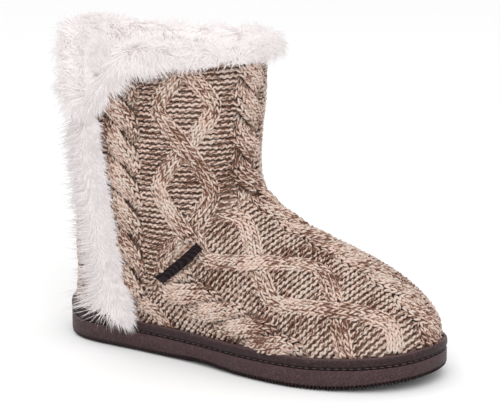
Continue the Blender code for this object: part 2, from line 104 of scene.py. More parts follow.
def fill_gaps(grid):
    """Fills samples that no ray met from the nearest ones along each row, then down each column."""
    for lines in (grid, grid.T):
        for line in lines:
            met = np.nonzero(~np.isnan(line))[0]
            if len(met):
                line[:] = np.interp(np.arange(len(line)), met, line[met])
    return grid


def smooth(values, spread, axis=0, ring=False):
    """Evens out samples along an axis. The spread is in samples."""
    half = int(3 * spread) + 1
    weights = np.exp(-0.5 * (np.arange(-half, half + 1) / spread) ** 2)
    weights /= weights.sum()
    pads = [(half, half) if n == axis % values.ndim else (0, 0) for n in range(values.ndim)]
    if ring:
        padded = np.pad(values, pads, "wrap")
    else:
        padded = np.pad(values, pads, "reflect", reflect_type="odd")
    return np.apply_along_axis(np.convolve, axis, padded, weights, "valid")


def unit(vectors):
    return vectors / np.linalg.norm(vectors, axis=-1, keepdims=True)


def ring_normals(ring):
    """Outward level normals of a ring that runs anticlockwise from above."""
    along = np.roll(ring, -1, axis=0) - np.roll(ring, 1, axis=0)
    return unit(np.column_stack([along[:, 1], -along[:, 0]]))


def travel(path):
    """The distance along a path to each of its points."""
    return np.concatenate([[0.0], np.cumsum(np.linalg.norm(np.diff(path, axis=0), axis=1))])


def even_points(path, count):
    """Points evenly spaced along a path, from its first point up to but without its last."""
    travelled = travel(path)
    marks = np.linspace(0.0, travelled[-1], count, endpoint=False)
    return np.column_stack([np.interp(marks, travelled, column) for column in path.T])


def quads(rows, columns, close_rows=False, close_columns=True):
    """Corners of the faces between rows of points that run anticlockwise, from the lowest row up."""
    i, j = np.meshgrid(
        np.arange(rows if close_rows else rows - 1),
        np.arange(columns if close_columns else columns - 1),
        indexing="ij",
    )
    k, l = (i + 1) % rows, (j + 1) % columns
    corners = [i * columns + j, i * columns + l, k * columns + l, k * columns + j]
    return np.stack(corners, axis=-1).reshape(-1, 4)


def strip_fill(start, count, facing_up):
    """Faces that close a ring of points by strips from its first half to its second."""
    faces = []
    for i in range(count // 2):
        corners = [start + n % count for n in (i, i + 1, count - i - 1, count - i)]
        kept = [v for n, v in enumerate(corners) if v not in corners[:n]]
        faces.append(kept if facing_up else kept[::-1])
    return faces


def new_piece(name, points, faces, material=None):
    """A smooth-shaded mesh object from points and faces."""
    data = bpy.data.meshes.new(name)
    spots = [tuple(point) for point in np.asarray(points, float)]
    data.from_pydata(spots, [], [tuple(int(corner) for corner in face) for face in faces])
    data.shade_smooth()
    if material:
        data.materials.append(material)
    piece = bpy.data.objects.new(name, data)
    bpy.context.scene.collection.objects.link(piece)
    return piece


def add_node(tree, kind, inputs=(), **settings):
    """A node in a tree, with its settings, and its sockets joined to other nodes or given values."""
    made = tree.nodes.new(kind)
    for key, value in settings.items():
        setattr(made, key, value)
    for socket, value in dict(inputs).items():
        if isinstance(value, bpy.types.NodeSocket):
            tree.links.new(value, made.inputs[socket])
        else:
            made.inputs[socket].default_value = value
    return made


def mixed(tree, share, first, second):
    """The mix of two colours or textures, by a share."""
    made = add_node(tree, "ShaderNodeMix", data_type="RGBA")
    for socket, value in ((0, share), (6, first), (7, second)):
        if isinstance(value, bpy.types.NodeSocket):
            tree.links.new(value, made.inputs[socket])
        else:
            made.inputs[socket].default_value = (*value, 1.0) if isinstance(value, tuple) else value
    return made.outputs[2]


def ranged(tree, value, low, high, to_low=0.0, to_high=1.0):
    """A value moved from one range to another, smoothly and within its ends."""
    sockets = {"Value": value, "From Min": low, "From Max": high, "To Min": to_low, "To Max": to_high}
    return add_node(tree, "ShaderNodeMapRange", sockets, interpolation_type="SMOOTHSTEP").outputs["Result"]


def math_node(tree, operation, first, second=0.0, third=0.0):
    return add_node(tree, "ShaderNodeMath", {0: first, 1: second, 2: third}, operation=operation).outputs[0]


def noise(tree, where, scale, detail=3.0, roughness=0.55):
    sockets = {"Vector": where, "Scale": scale, "Detail": detail, "Roughness": roughness}
    return add_node(tree, "ShaderNodeTexNoise", sockets).outputs["Fac"]


def new_material(name, colour, roughness, **sockets):
    """A material with its shader's fixed values, and its node tree, shader and object coordinates."""
    material = bpy.data.materials.new(name)
    material.use_nodes = True
    material.diffuse_color = (*colour, 1.0)
    tree = material.node_tree
    shader = tree.nodes["Principled BSDF"]
    shader.inputs["Base Color"].default_value = (*colour, 1.0)
    shader.inputs["Roughness"].default_value = roughness
    for socket, value in sockets.items():
        shader.inputs[socket.replace("_", " ")].default_value = value
    return material, tree, shader, add_node(tree, "ShaderNodeTexCoord").outputs["Object"]


def add_bump(tree, shader, height, distance, strength=1.0):
    sockets = {"Height": height, "Distance": distance, "Strength": strength}
    bump = add_node(tree, "ShaderNodeBump", sockets)
    tree.links.new(bump.outputs["Normal"], shader.inputs["Normal"])


def read_outline():
    """The sole's outline from the heel tip along the lateral side, with its rim and its underside."""
    surface = surface_of("sole")
    low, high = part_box("sole")
    heel_y, toe_y = high.y - HEEL_CENTRE_IN, low.y + TOE_CENTRE_IN
    turns = np.radians(np.arange(0.0, 90.0, OUTLINE_TURN))
    sides = np.arange(heel_y, toe_y, -OUTLINE_WALK)
    rays = [((0.0, heel_y), math.pi / 2 + turn) for turn in turns]
    rays += [((0.0, y), math.pi) for y in sides]
    rays += [((0.0, toe_y), math.pi + turn) for turn in np.concatenate([turns, turns + math.pi / 2])]
    rays += [((0.0, y), 0.0) for y in sides[::-1]]
    rays += [((0.0, heel_y), turn) for turn in turns]
    ring = []
    for (x, y), turn in rays:
        way = np.array((math.cos(turn), math.sin(turn), 0.0))
        lift = (high.z - low.z) * SIDE_LEVEL
        distance = reach(surface, (x, y, lift), way)
        ring.append((x + way[0] * distance, y + way[1] * distance))
    ring = np.array(ring)
    halves = (ring[: len(ring) // 2 + 1], np.vstack([ring[len(ring) // 2:], ring[:1]]))
    length = np.linalg.norm(np.diff(halves[0], axis=0), axis=1).sum()
    count = int(length / OUTLINE_STEP)
    spread = OUTLINE_SPREAD / OUTLINE_STEP
    ring = smooth(np.vstack([even_points(half, count) for half in halves]), spread, ring=True)
    ring += ring_normals(ring) * OUTLINE_PROUD
    inward = (ring - ring_normals(ring) * RIM_THICKNESS / 2.0)[::LEVEL_POINTS]
    rim = np.array([reach(surface, (x, y, 0.0), (0, 0, 1)) for x, y in inward])
    under = np.array([-reach(surface, (x, y, 0.0), (0, 0, -1)) for x, y in inward * UNDER_INSET])
    marks = np.arange(len(ring))
    known = marks[::LEVEL_POINTS]
    rim, under = (np.interp(marks, known, line, period=len(ring)) for line in (rim, under))
    rim = rim - TOE_RIM_DIP * np.clip((TOE_DIP_START - ring[:, 1]) / TOE_DIP_LENGTH, 0.0, 1.0)
    return ring, *(smooth(line, spread, ring=True) for line in (rim, under))


outline, rim_line, under_line = read_outline()
outline_out = ring_normals(outline)
OUTLINE_POINTS = len(outline)

# Rows from the tread up the side, over the rim and down into the cup: inset, level it counts from, rise, how
# ribbed it is, and its painted light. The groove's lips and the rim's edge are lighter with painted
# highlight, the groove dark with painted shade, and the lower side and the cup a little darker with painted
# shade.
SOLE_ROWS = (
    (0.0060, "under", 0.0000, 1.0, 0.0),
    (0.0030, "under", 0.0000, 1.0, 0.0),
    (0.0016, "under", 0.0004, 1.0, -0.3),
    (0.0006, "under", 0.0014, 1.0, -0.6),
    (0.0001, "under", 0.0028, 1.0, -0.3),
    (0.0000, "under", 0.0036, 0.0, 0.1),
    (0.0000, "rim", -BAND - GROOVE - 0.0005, 0.0, 0.2),
    (0.0002, "rim", -BAND - GROOVE, 0.0, 0.3),
    (0.0012, "rim", -BAND - GROOVE * 0.85, 0.0, -1.8),
    (0.0012, "rim", -BAND - GROOVE * 0.15, 0.0, -1.8),
    (0.0002, "rim", -BAND, 0.0, -0.1),
    (-0.0001, "rim", -BAND + 0.0006, 0.0, -0.1),
    (-0.0002, "rim", -BAND / 2.0, 0.0, -0.2),
    (0.0001, "rim", -0.0008, 0.0, 0.0),
    (0.0007, "rim", -0.0001, 0.0, 0.9),
    (0.0016, "rim", 0.0001, 0.0, 0.5),
    (0.0025, "rim", -0.0003, 0.0, 0.0),
    (0.0029, "rim", -0.0012, 0.0, -0.3),
    (0.0029, "rim", -CUP_DEPTH, 0.0, -0.6),
)


def sole_points():
    """Rows of points, with ribs that notch the lowest rows from the waist to the toe and under the heel."""
    along = np.arange(OUTLINE_POINTS) * OUTLINE_STEP
    half = OUTLINE_POINTS // 2
    from_heel = np.minimum(along, OUTLINE_POINTS * OUTLINE_STEP - along)
    rib = np.clip(0.5 + RIB_STEEPNESS * np.sin(2.0 * math.pi * from_heel / RIB_PITCH), 0.0, 1.0)
    stretch = from_heel / (half * OUTLINE_STEP)
    rib = rib * (HEEL_RIBS + (1.0 - HEEL_RIBS) * np.clip((stretch - WAIST) / WAIST_LENGTH, 0.0, 1.0))
    levels = {"under": under_line, "rim": rim_line}
    rows = []
    for inset, level, rise, ribbed, _ in SOLE_ROWS:
        depth = RIB_DEPTH * rib * ribbed
        ring = outline - outline_out * (inset + depth * (rise > 0.0))[:, None]
        rows.append(np.column_stack([ring, levels[level] + rise + depth * (rise <= RIB_LIFT)]))
    return np.array(rows)


rubber, tree, shader, where = new_material("rubber", RUBBER_COLOUR, 0.5, Specular_IOR_Level=0.22)
specks = noise(tree, where, RUBBER_SPECKS, 2.0)
clouds = noise(tree, where, RUBBER_CLOUDS)
grain = noise(tree, where, RUBBER_GRAIN, 3.0)
# The edge attribute holds each row's painted light, painted highlight above zero and painted shade below; it
# is added to the scuffed wear and the grain.
edge = add_node(tree, "ShaderNodeAttribute", attribute_name="edge").outputs["Fac"]
wear_and_painted_light = ranged(tree, noise(tree, where, RUBBER_SCUFFS, 5.0), 0.52, 0.75, 0.0, 0.4)
wear_and_painted_light = math_node(tree, "MULTIPLY_ADD", grain, 1.9, math_node(tree, "ADD", wear_and_painted_light, edge))
wear_and_painted_light = ranged(tree, wear_and_painted_light, 0.55, 1.65)
tree.links.new(mixed(tree, wear_and_painted_light, RUBBER_DARK, RUBBER_WEAR_AND_HIGHLIGHT), shader.inputs["Base Color"])
tree.links.new(ranged(tree, clouds, 0.3, 0.7, 0.42, 0.58), shader.inputs["Roughness"])
add_bump(tree, shader, specks, 0.0005, 1.0)

rows = sole_points()
faces = list(quads(len(rows), OUTLINE_POINTS)) + strip_fill(0, OUTLINE_POINTS, False)
faces += strip_fill((len(rows) - 1) * OUTLINE_POINTS, OUTLINE_POINTS, True)
sole = new_piece("sole_moulding", rows.reshape(-1, 3), faces, rubber)
layer = sole.data.attributes.new("edge", "FLOAT", "POINT")
# Each row's painted light: painted highlight above zero, painted shade below zero.
painted_light_by_row = np.array([row[-1] for row in SOLE_ROWS], np.float32)
layer.data.foreach_set("value", np.repeat(painted_light_by_row, OUTLINE_POINTS))
sole.data.set_sharp_from_angle(angle=math.radians(50.0))
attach(sole, "root")
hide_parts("sole")


SCATTER_WAYS = ("along", "out", "size")


def scatter_tree():
    """Geometry Nodes that set a copy of a shape on each point, lying along "along" with its top to "out"."""
    tree = bpy.data.node_groups.new("copies_on_points", "GeometryNodeTree")
    sockets = {}
    for label, kind in (
        ("Points", "NodeSocketGeometry"),
        ("Shape", "NodeSocketObject"),
        ("Finish", "NodeSocketMaterial"),
    ):
        sockets[label] = tree.interface.new_socket(label, in_out="INPUT", socket_type=kind).identifier
    tree.interface.new_socket("Mesh", in_out="OUTPUT", socket_type="NodeSocketGeometry")
    given = add_node(tree, "NodeGroupInput").outputs
    kind = {"data_type": "FLOAT_VECTOR"}
    along, out, size = (
        add_node(tree, "GeometryNodeInputNamedAttribute", {"Name": label}, **kind).outputs[0]
        for label in SCATTER_WAYS
    )
    facing = add_node(tree, "FunctionNodeAlignRotationToVector", {"Vector": out}, axis="Z")
    turned = add_node(
        tree,
        "FunctionNodeAlignRotationToVector",
        {"Rotation": facing.outputs[0], "Vector": along},
        axis="X",
        pivot_axis="Z",
    )
    shape = add_node(tree, "GeometryNodeObjectInfo", {"Object": given["Shape"]}, transform_space="ORIGINAL")
    placed = add_node(
        tree,
        "GeometryNodeInstanceOnPoints",
        {
            "Points": given["Points"],
            "Instance": shape.outputs["Geometry"],
            "Rotation": turned.outputs[0],
            "Scale": size,
        },
    )
    real = add_node(tree, "GeometryNodeRealizeInstances", {"Geometry": placed.outputs[0]})
    for label in SCATTER_WAYS:
        real = add_node(tree, "GeometryNodeRemoveAttribute", {"Geometry": real.outputs[0], "Name": label})
    sockets_in = {"Geometry": real.outputs[0], "Material": given["Finish"]}
    done = add_node(tree, "GeometryNodeSetMaterial", sockets_in)
    add_node(tree, "NodeGroupOutput", {"Mesh": done.outputs[0]})
    return tree, sockets


SCATTER, SCATTER_SOCKETS = scatter_tree()


def scatter(name, shape, points, along, out, size, material, **floats):
    """A plain mesh of copies of a shape, one on each point. Sizes are three scales a point."""
    piece = new_piece(name, points, ())
    for label, values in zip(SCATTER_WAYS, (along, out, size)):
        layer = piece.data.attributes.new(label, "FLOAT_VECTOR", "POINT")
        layer.data.foreach_set("vector", np.asarray(values, np.float32).ravel())
    for label, values in floats.items():
        layer = piece.data.attributes.new(label, "FLOAT", "POINT")
        layer.data.foreach_set("value", np.asarray(values, np.float32))
    modifier = piece.modifiers.new("copies", "NODES")
    modifier.node_group = SCATTER
    for label, value in (("Shape", shape), ("Finish", material)):
        modifier[SCATTER_SOCKETS[label]] = value
    evaluated = piece.evaluated_get(bpy.context.evaluated_depsgraph_get())
    mesh = bpy.data.meshes.new_from_object(evaluated)
    piece.modifiers.clear()
    piece.data = mesh
    return piece


def tube_shape(name, path, radii, sides):
    """A tube that ends in points, with its length in metres and its girth in turns as a UV map."""
    path, radii = np.asarray(path, float), np.asarray(radii, float)
    travelled = travel(path)
    along = unit(np.gradient(path, axis=0))
    up = unit(np.cross(along, np.cross((0.0, 0.0, 1.0), along)))
    side = np.cross(up, along)
    turns = np.linspace(0.0, 2.0 * math.pi, sides, endpoint=False)
    rows = (
        path[:, None]
        + side[:, None] * np.cos(turns)[None, :, None] * radii[:, None, None]
        + up[:, None] * np.sin(turns)[None, :, None] * radii[:, None, None]
    )[1:-1]
    points = np.vstack([path[:1], rows.reshape(-1, 3), path[-1:]])
    count = len(rows)
    last = len(points) - 1
    top = last - sides
    faces = list(quads(count, sides) + 1)
    faces += [(0, 1 + (i + 1) % sides, 1 + i) for i in range(sides)]
    faces += [(last, top + i, top + (i + 1) % sides) for i in range(sides)]
    piece = new_piece(name, points, faces)
    layer = piece.data.uv_layers.new(name="yarn")
    length = np.concatenate([travelled[:1], np.repeat(travelled[1:-1], sides), travelled[-1:]])
    girth = np.concatenate([[0.5], np.tile(np.arange(sides) / sides, count), [0.5]])
    for face in piece.data.polygons:
        around = [girth[piece.data.loops[n].vertex_index] for n in face.loop_indices]
        wraps = max(around) - min(around) > 0.6
        for n, share in zip(face.loop_indices, around):
            layer.data[n].uv = (length[piece.data.loops[n].vertex_index], share + (wraps and share < 0.4))
    return piece


def drop(*shapes):
    for shape in shapes:
        bpy.data.objects.remove(shape)


thread, tree, shader, where = new_material("sole_thread", THREAD_COLOUR, 0.55)
tree.links.new(
    mixed(tree, ranged(tree, noise(tree, where, 1500.0), 0.4, 0.7), THREAD_COLOUR, RUBBER_WEAR_AND_HIGHLIGHT),
    shader.inputs["Base Color"],
)
stitch_ways = [(t, -THREAD_DIVE * (2.0 * t - 1.0) ** 4) for t in np.linspace(0.0, 1.0, 7)]
stitch_shape = tube_shape(
    "stitch_shape",
    [(THREAD_LENGTH * (t - 0.5), 0.0, height) for t, height in stitch_ways],
    [THREAD_RADIUS * r for r in (0.0, 0.9, 1.0, 1.0, 1.0, 0.9, 0.0)],
    6,
)
marks = np.arange(0.0, OUTLINE_POINTS, THREAD_PITCH / OUTLINE_STEP).astype(int)
spots = outline - outline_out * THREAD_INSET
spots = np.column_stack([spots, rim_line - BAND - GROOVE / 2.0])[marks]
level_out = np.column_stack([outline_out, np.zeros(OUTLINE_POINTS)])[marks]
level_along = np.cross(level_out, (0.0, 0.0, 1.0))
stitches = scatter(
    "sole_stitches", stitch_shape, spots, level_along, level_out, np.ones((len(marks), 3)), thread
)
drop(stitch_shape)
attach(stitches, "root")

# Insole: a foam sock covered in short plush, which lies loose in the sole's cup. Its pile is matted into soft
# humps, and the same plush lines the upper.

INSOLE_GAP = 0.0078  # from the sole's outline
INSOLE_ROWS = 26
INSOLE_POINTS = 4  # points of the sole's outline to one of its own
INSOLE_ENDS = (-0.143, 0.031)  # of the line along its middle that its rows close in on
INSOLE_EDGE = 0.0032  # height of its upright edge
INSOLE_HEIGHT = 0.0046
INSOLE_CROWN = 0.0014  # how much higher its middle is
INSOLE_HUMPS = ((0.014, 0.0006, 3), (0.004, 0.0003, 4))  # size, height and seed
PLUSH_PILE = 700.0  # scale
PLUSH_CURLS = 260.0
PLUSH_COLOUR = (0.80, 0.74, 0.71)
PLUSH_SHADE = (0.62, 0.55, 0.52)


def humps(points, size, height, seed):
    """Smooth random humps over points, from waves in many directions."""
    random = np.random.default_rng(seed)
    total = np.zeros(len(points))
    for _ in range(14):
        way = unit(random.normal(size=3)) * 2.0 * math.pi / (size * random.uniform(0.6, 1.7))
        total += np.sin(points @ way + random.uniform(0.0, 2.0 * math.pi))
    return height * total / math.sqrt(7.0) / 2.0


sheen = {"Sheen_Weight": 0.5, "Sheen_Roughness": 0.5}
plush, tree, shader, where = new_material("plush", PLUSH_COLOUR, 0.95, **sheen)
pile = noise(tree, where, PLUSH_PILE, 5.0, 0.7)
curls = noise(tree, where, PLUSH_CURLS, 3.0)
tree.links.new(
    mixed(tree, ranged(tree, curls, 0.35, 0.65), PLUSH_SHADE, PLUSH_COLOUR), shader.inputs["Base Color"]
)
add_bump(tree, shader, mixed(tree, 0.5, pile, curls), 0.0025, 0.9)

every = outline[::INSOLE_POINTS]
edge = every - ring_normals(every) * INSOLE_GAP
spine = np.column_stack([edge[:, 0] * 0.0, np.clip(edge[:, 1], *INSOLE_ENDS)])
seat = smooth(rim_line[::INSOLE_POINTS], 3.0, ring=True) - CUP_DEPTH
rows = [np.column_stack([edge, seat]), np.column_stack([edge, seat + INSOLE_EDGE])]
for share in np.linspace(0.0, 0.92, INSOLE_ROWS)[1:]:
    ring = edge + (spine - edge) * share
    height = INSOLE_HEIGHT + INSOLE_CROWN * math.sin(share * math.pi / 2.0)
    rows.append(np.column_stack([ring, seat + height]))
points = np.concatenate(rows)
top = points[2 * len(edge):]
top[:, 2] += sum(humps(top, *hump) for hump in INSOLE_HUMPS)
faces = list(quads(len(rows), len(edge))) + strip_fill(0, len(edge), False)
faces += strip_fill((len(rows) - 1) * len(edge), len(edge), True)
insole = new_piece("plush_insole", points, faces, plush)
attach(insole, "root")
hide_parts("insole")

# Upper: a knitted boot on a plush lining. The shaft is one panel of knit that wraps the leg from one side of
# the fur strip round to the other. The vamp is a second panel, sewn to it from the instep down to the sole on
# both sides. A dark backing in the yarn's dark and middle tones closes what shows between the stitches; its
# darkness is partly painted shade between them.

WALL = 0.004
EDGE_FACES = (0.03, 0.15)  # the wall's flat edges lie below and above these heights
LINING_PROUD = 0.0004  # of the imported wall's inner face
LINING_THICKNESS = 0.0006
LINING_HUMPS = ((0.013, 0.0005, 5), (0.005, 0.00035, 6))  # size, height and seed
BACKING_DEPTH = 0.0024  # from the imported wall's face in to the ground of the knit
BACKING_THICKNESS = 0.0004
SEAM_TOP = (-0.067, 0.105)  # y and z of the seam between shaft and vamp, at the instep
SEAM_FOOT = (0.005, 0.025)
COLLAR_TURNS = 180
COLLAR_LOOK = 0.155  # height at which the shaft's reach is first read
COLLAR_MARGIN = 0.002
SHAFT_TURN = 0.03  # between the shaft panel's columns
SHAFT_OVERLAP = 0.15  # turn by which the shaft panel runs on past the strip
SHAFT_FOOT = 0.018
VAMP_TURN = 3.0  # degrees between its readings
VAMP_CORE_DROP = 0.055  # from the seam's top to the core that the vamp is read from
VAMP_CORE_TOE = 0.020  # height of that core at the toe
VAMP_HALF_WIDTH = 0.13
MAP_STEP = 0.002
YARN_MIDDLE = (0.378, 0.246, 0.182)
YARN_DARK = (0.108, 0.040, 0.022)


def upper_part(part):
    """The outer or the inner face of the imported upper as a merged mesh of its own."""
    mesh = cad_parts["upper"].data.copy()
    work = bmesh.new()
    work.from_mesh(mesh)
    bmesh.ops.remove_doubles(work, verts=work.verts, dist=1e-5)
    bmesh.ops.join_triangles(
        work, faces=work.faces, angle_face_threshold=math.radians(40), angle_shape_threshold=math.radians(60)
    )
    facing = {"outer": 1.0, "inner": -1.0}[part]
    gone = []
    for face in work.faces:
        spot = face.calc_center_median()
        away = Vector((spot.x, spot.y, 0.0)).normalized()
        flat = abs(face.normal.z) > 0.93 and not EDGE_FACES[0] <= spot.z <= EDGE_FACES[1]
        if flat or face.normal.dot(away) * facing < 0.0:
            gone.append(face)
    bmesh.ops.delete(work, geom=gone, context="FACES")
    work.to_mesh(mesh)
    work.free()
    return mesh


def baked(piece):
    """A piece's mesh as its modifiers leave it, in place of them."""
    evaluated = piece.evaluated_get(bpy.context.evaluated_depsgraph_get())
    mesh = bpy.data.meshes.new_from_object(evaluated)
    piece.modifiers.clear()
    piece.data = mesh
    return piece


def shell(name, part, depth, thickness, material, levels, waves=()):
    """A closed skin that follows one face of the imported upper, at a depth below it, with humps."""
    piece = bpy.data.objects.new(name, upper_part(part))
    bpy.context.scene.collection.objects.link(piece)
    piece.data.materials.clear()
    piece.data.materials.append(material)
    finer = piece.modifiers.new("finer", "SUBSURF")
    finer.levels = finer.render_levels = levels
    baked(piece)
    mesh = piece.data
    count = len(mesh.vertices)
    points = np.empty(count * 3)
    out = np.empty(count * 3)
    mesh.vertices.foreach_get("co", points)
    mesh.vertex_normals.foreach_get("vector", out)
    points, out = points.reshape(-1, 3), out.reshape(-1, 3)
    lift = np.full(count, -depth)
    for wave in waves:
        lift += humps(points, *wave)
    mesh.vertices.foreach_set("co", (points + out * lift[:, None]).ravel())
    wall = piece.modifiers.new("wall", "SOLIDIFY")
    wall.thickness, wall.offset = thickness, -1.0
    baked(piece).data.shade_smooth()
    return piece


lining = shell("plush_lining", "inner", -LINING_PROUD, LINING_THICKNESS, plush, 2, LINING_HUMPS)
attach(lining, "root")
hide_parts("upper")

# The backing takes the yarn's dark and middle tones by noise, and its darkness is partly painted shade
# between the stitches.
ground, tree, shader, where = new_material("knit_ground", YARN_DARK, 0.95)
tree.links.new(
    mixed(tree, ranged(tree, noise(tree, where, 500.0), 0.35, 0.6), YARN_DARK, YARN_MIDDLE),
    shader.inputs["Base Color"],
)
backing = shell("knit_backing", "outer", BACKING_DEPTH, BACKING_THICKNESS, ground, 1)
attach(backing, "root")
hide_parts("upper")

upper_surface = surface_of("upper")
upper_low, upper_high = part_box("upper")
strip_points = np.array([v.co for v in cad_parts["fur_strip"].data.vertices])
strip_middle = strip_points.mean(axis=0)
STRIP_TURN = math.atan2(strip_middle[0], -strip_middle[1])  # round from the front, medial way


def collar_line():
    """The shaft's top edge as it goes round, in turns from the front, medial way: outer reach and height."""
    turns = np.linspace(0.0, 2.0 * math.pi, COLLAR_TURNS, endpoint=False)
    radius, height = [], []
    for turn in turns:
        way = np.array((math.sin(turn), -math.cos(turn), 0.0))
        out = reach(upper_surface, (0.0, 0.0, COLLAR_LOOK), way)
        spot = way * (out - WALL / 2.0)
        top = reach(upper_surface, spot, (0.0, 0.0, 1.0))
        again = reach(upper_surface, (0.0, 0.0, top - COLLAR_MARGIN), way)
        spot = way * (again - WALL / 2.0)
        height.append(reach(upper_surface, spot, (0.0, 0.0, 1.0)))
        radius.append(reach(upper_surface, (0.0, 0.0, height[-1] - COLLAR_MARGIN), way))
    return turns, *(smooth(np.array(line), 1.5, ring=True) for line in (radius, height))


collar_turns, collar_radius, collar_height = collar_line()


def under_collar(points):
    """True for points below the shaft's top edge, which dips at the strip."""
    turn = np.arctan2(points[:, 0], -points[:, 1])
    edge = np.interp(turn, collar_turns, collar_height, period=2.0 * math.pi)
    return points[:, 2] < edge - COLLAR_MARGIN


def new_panel(grid):
    """A piece of knit as an even grid of points: its rows go down the knit and its columns across it."""
    across, down = np.gradient(grid, axis=1), np.gradient(grid, axis=0)
    with np.errstate(invalid="ignore"):
        return {"points": grid, "out": unit(np.cross(down, across))}


def on_panel(panel, field, u, v):
    """A panel's points or normals at distances across and down it."""
    grid = panel[field]
    x = np.clip((np.asarray(u, float) - panel["left"]) / MAP_STEP, 0.0, grid.shape[1] - 1.001)
    y = np.clip(np.asarray(v, float) / MAP_STEP, 0.0, grid.shape[0] - 1.001)
    i, j = y.astype(int), x.astype(int)
    s, t = (y - i)[..., None], (x - j)[..., None]
    top = grid[i, j] * (1.0 - t) + grid[i, j + 1] * t
    return top * (1.0 - s) + (grid[i + 1, j] * (1.0 - t) + grid[i + 1, j + 1] * t) * s


def lifted(panel, u, v, height):
    return on_panel(panel, "points", u, v) + on_panel(panel, "out", u, v) * np.asarray(height)[..., None]


def shaft_panel():
    """Level rows round the leg, from the strip's back edge round the front and the heel to its front edge."""
    first, last = STRIP_TURN - SHAFT_OVERLAP, STRIP_TURN + 2.0 * math.pi + SHAFT_OVERLAP
    turns = np.arange(first, last, SHAFT_TURN)
    levels = np.arange(upper_high.z, SHAFT_FOOT, -MAP_STEP)
    ways = np.column_stack([np.sin(turns), -np.cos(turns), np.zeros(len(turns))])
    radius = np.array([[reach(upper_surface, (0, 0, z), way) for way in ways] for z in levels])
    radius[radius < 0.02] = math.nan
    radius = smooth(smooth(fill_gaps(radius), 3.0, 0), 3.0, 1)
    grid = ways[None] * radius[:, :, None]
    grid[:, :, 2] = levels[:, None]
    middle = grid[len(levels) // 4]
    travelled = travel(middle)
    travelled -= np.interp(0.0, turns, travelled)
    marks = np.arange(travelled[0], travelled[-1], MAP_STEP)
    even = np.stack([[np.interp(marks, travelled, row[:, axis]) for axis in range(3)] for row in grid])
    panel = new_panel(even.transpose(0, 2, 1))
    panel["left"] = travelled[0]
    panel["ends"] = tuple(np.interp((STRIP_TURN, STRIP_TURN + 2.0 * math.pi), turns, travelled))
    panel["length"] = MAP_STEP * (len(levels) - 1)
    return panel


def vamp_panel():
    """Rows over the foot, all in planes that lean back as the seam does, from the seam to the toe."""
    top, foot = np.array(SEAM_TOP), np.array(SEAM_FOOT)
    down = (foot - top) / np.linalg.norm(foot - top)
    forward = np.array((down[1], -down[0]))
    toe = np.array((upper_low.y, SHAFT_FOOT))
    reach_forward = (toe - top) @ forward
    steps = np.arange(0.0, reach_forward, MAP_STEP)
    share = steps / reach_forward
    core_top = top[1] + down[1] * VAMP_CORE_DROP
    core_z = core_top + (VAMP_CORE_TOE - core_top) * share
    core_y = top[0] + (steps - forward[1] * (core_z - top[1])) / forward[0]
    turns = np.radians(np.arange(-150.0, 150.1, VAMP_TURN))
    rows = []
    for step, y, z, along in zip(steps, core_y, core_z, share):
        core = np.array((0.005 * along, y, z))
        ways = [np.array((math.sin(t), -down[0] * math.cos(t), -down[1] * math.cos(t))) for t in turns]
        radius = np.array([reach(upper_surface, core, way) for way in ways])
        met = core[2] + radius * np.array([way[2] for way in ways])
        radius[(radius < 0.0) | (met < 0.0125)] = math.nan
        rows.append((core, np.array(ways), radius))
    radius = fill_gaps(np.array([row[2] for row in rows]))
    radius = smooth(smooth(radius, 2.5, 0), 2.0, 1)
    grid = np.array([core + ways * line[:, None] for (core, ways, _), line in zip(rows, radius)])
    middle = len(turns) // 2
    marks = np.arange(-VAMP_HALF_WIDTH, VAMP_HALF_WIDTH, MAP_STEP)
    even = []
    for row in grid:
        travelled = travel(row)
        travelled -= travelled[middle]
        even.append([np.interp(marks, travelled, row[:, axis]) for axis in range(3)])
    even = np.array(even).transpose(0, 2, 1)
    travelled = travel(grid[:, middle])
    stations = np.arange(0.0, travelled[-1], MAP_STEP)
    flat = even.reshape(len(even), -1)
    flat = np.array([np.interp(stations, travelled, column) for column in flat.T]).T
    panel = new_panel(flat.reshape(len(stations), *even.shape[1:]))
    panel["left"] = marks[0]
    panel["ends"] = (marks[0], marks[-1])
    panel["length"] = MAP_STEP * (len(stations) - 1)
    return panel


# Knit: rope and lattice cables on a ground of purl, in a marled two-colour yarn. Each cable is two strands of
# knit stitches, each stitch is two legs of yarn, and the ground is rows of small arcs. Shaft and vamp are
# knitted apart and meet in the seam, and their lowest stitches go down behind the sole's rim.

WALE = 0.00385
COURSE = 0.0034
REPEAT = 23.0 * WALE  # from one rope to the next
ROPE_CENTRE = -0.0035  # of the front rope, lateral of the middle line
ROPE_SWING = 0.0075
ROPE_LEVEL = 0.0002
ROPE_RISE = 0.0032
RIDGE_ROPE_RISE = 0.0014  # the vamp's middle rope is stretched flat along the ridge
ROPE_CROSSING = 0.0225
ROPE_BOW = 0.0019  # how much lower a strand's sides lie than its middle
ROPE_WALES = 4  # in each of its two strands
SHAFT_ROPE_START = 0.0005
VAMP_ROPE_START = 0.010
VAMP_ROPE_SHIFT = 0.006
LATTICE_SWING = 0.0172
LATTICE_LEVEL = 0.0001
LATTICE_RISE = 0.0013
LATTICE_BOW = 0.0014
LATTICE_WALES = 3
LATTICE_SHARPNESS = 0.93  # 1 would turn its strands in a point
LATTICE_OVERLAP = 0.42
SHAFT_LATTICE = (0.006, 0.0555, 0.1095, 0.160)  # where its strands cross, down from the panel's top
VAMP_LATTICE = (-0.014, 0.040, 0.101, 0.158)
LEG_LENGTH = 0.0064
LEG_RADIUS = 0.00100
LEG_SPLAY = math.radians(19.0)
BUMP_RADIUS = 0.00104
PURL_LEVEL = -0.0011
LOOSENESS = 0.00012  # how far stitches lie from their place
SEAM_TUCK = 0.0012  # how far the knit dips into the seam
SEAM_WIDTH = 0.005
LABEL_TUCK = 0.0024  # how far the label presses the knit in
LABEL_MARGIN = 0.0022
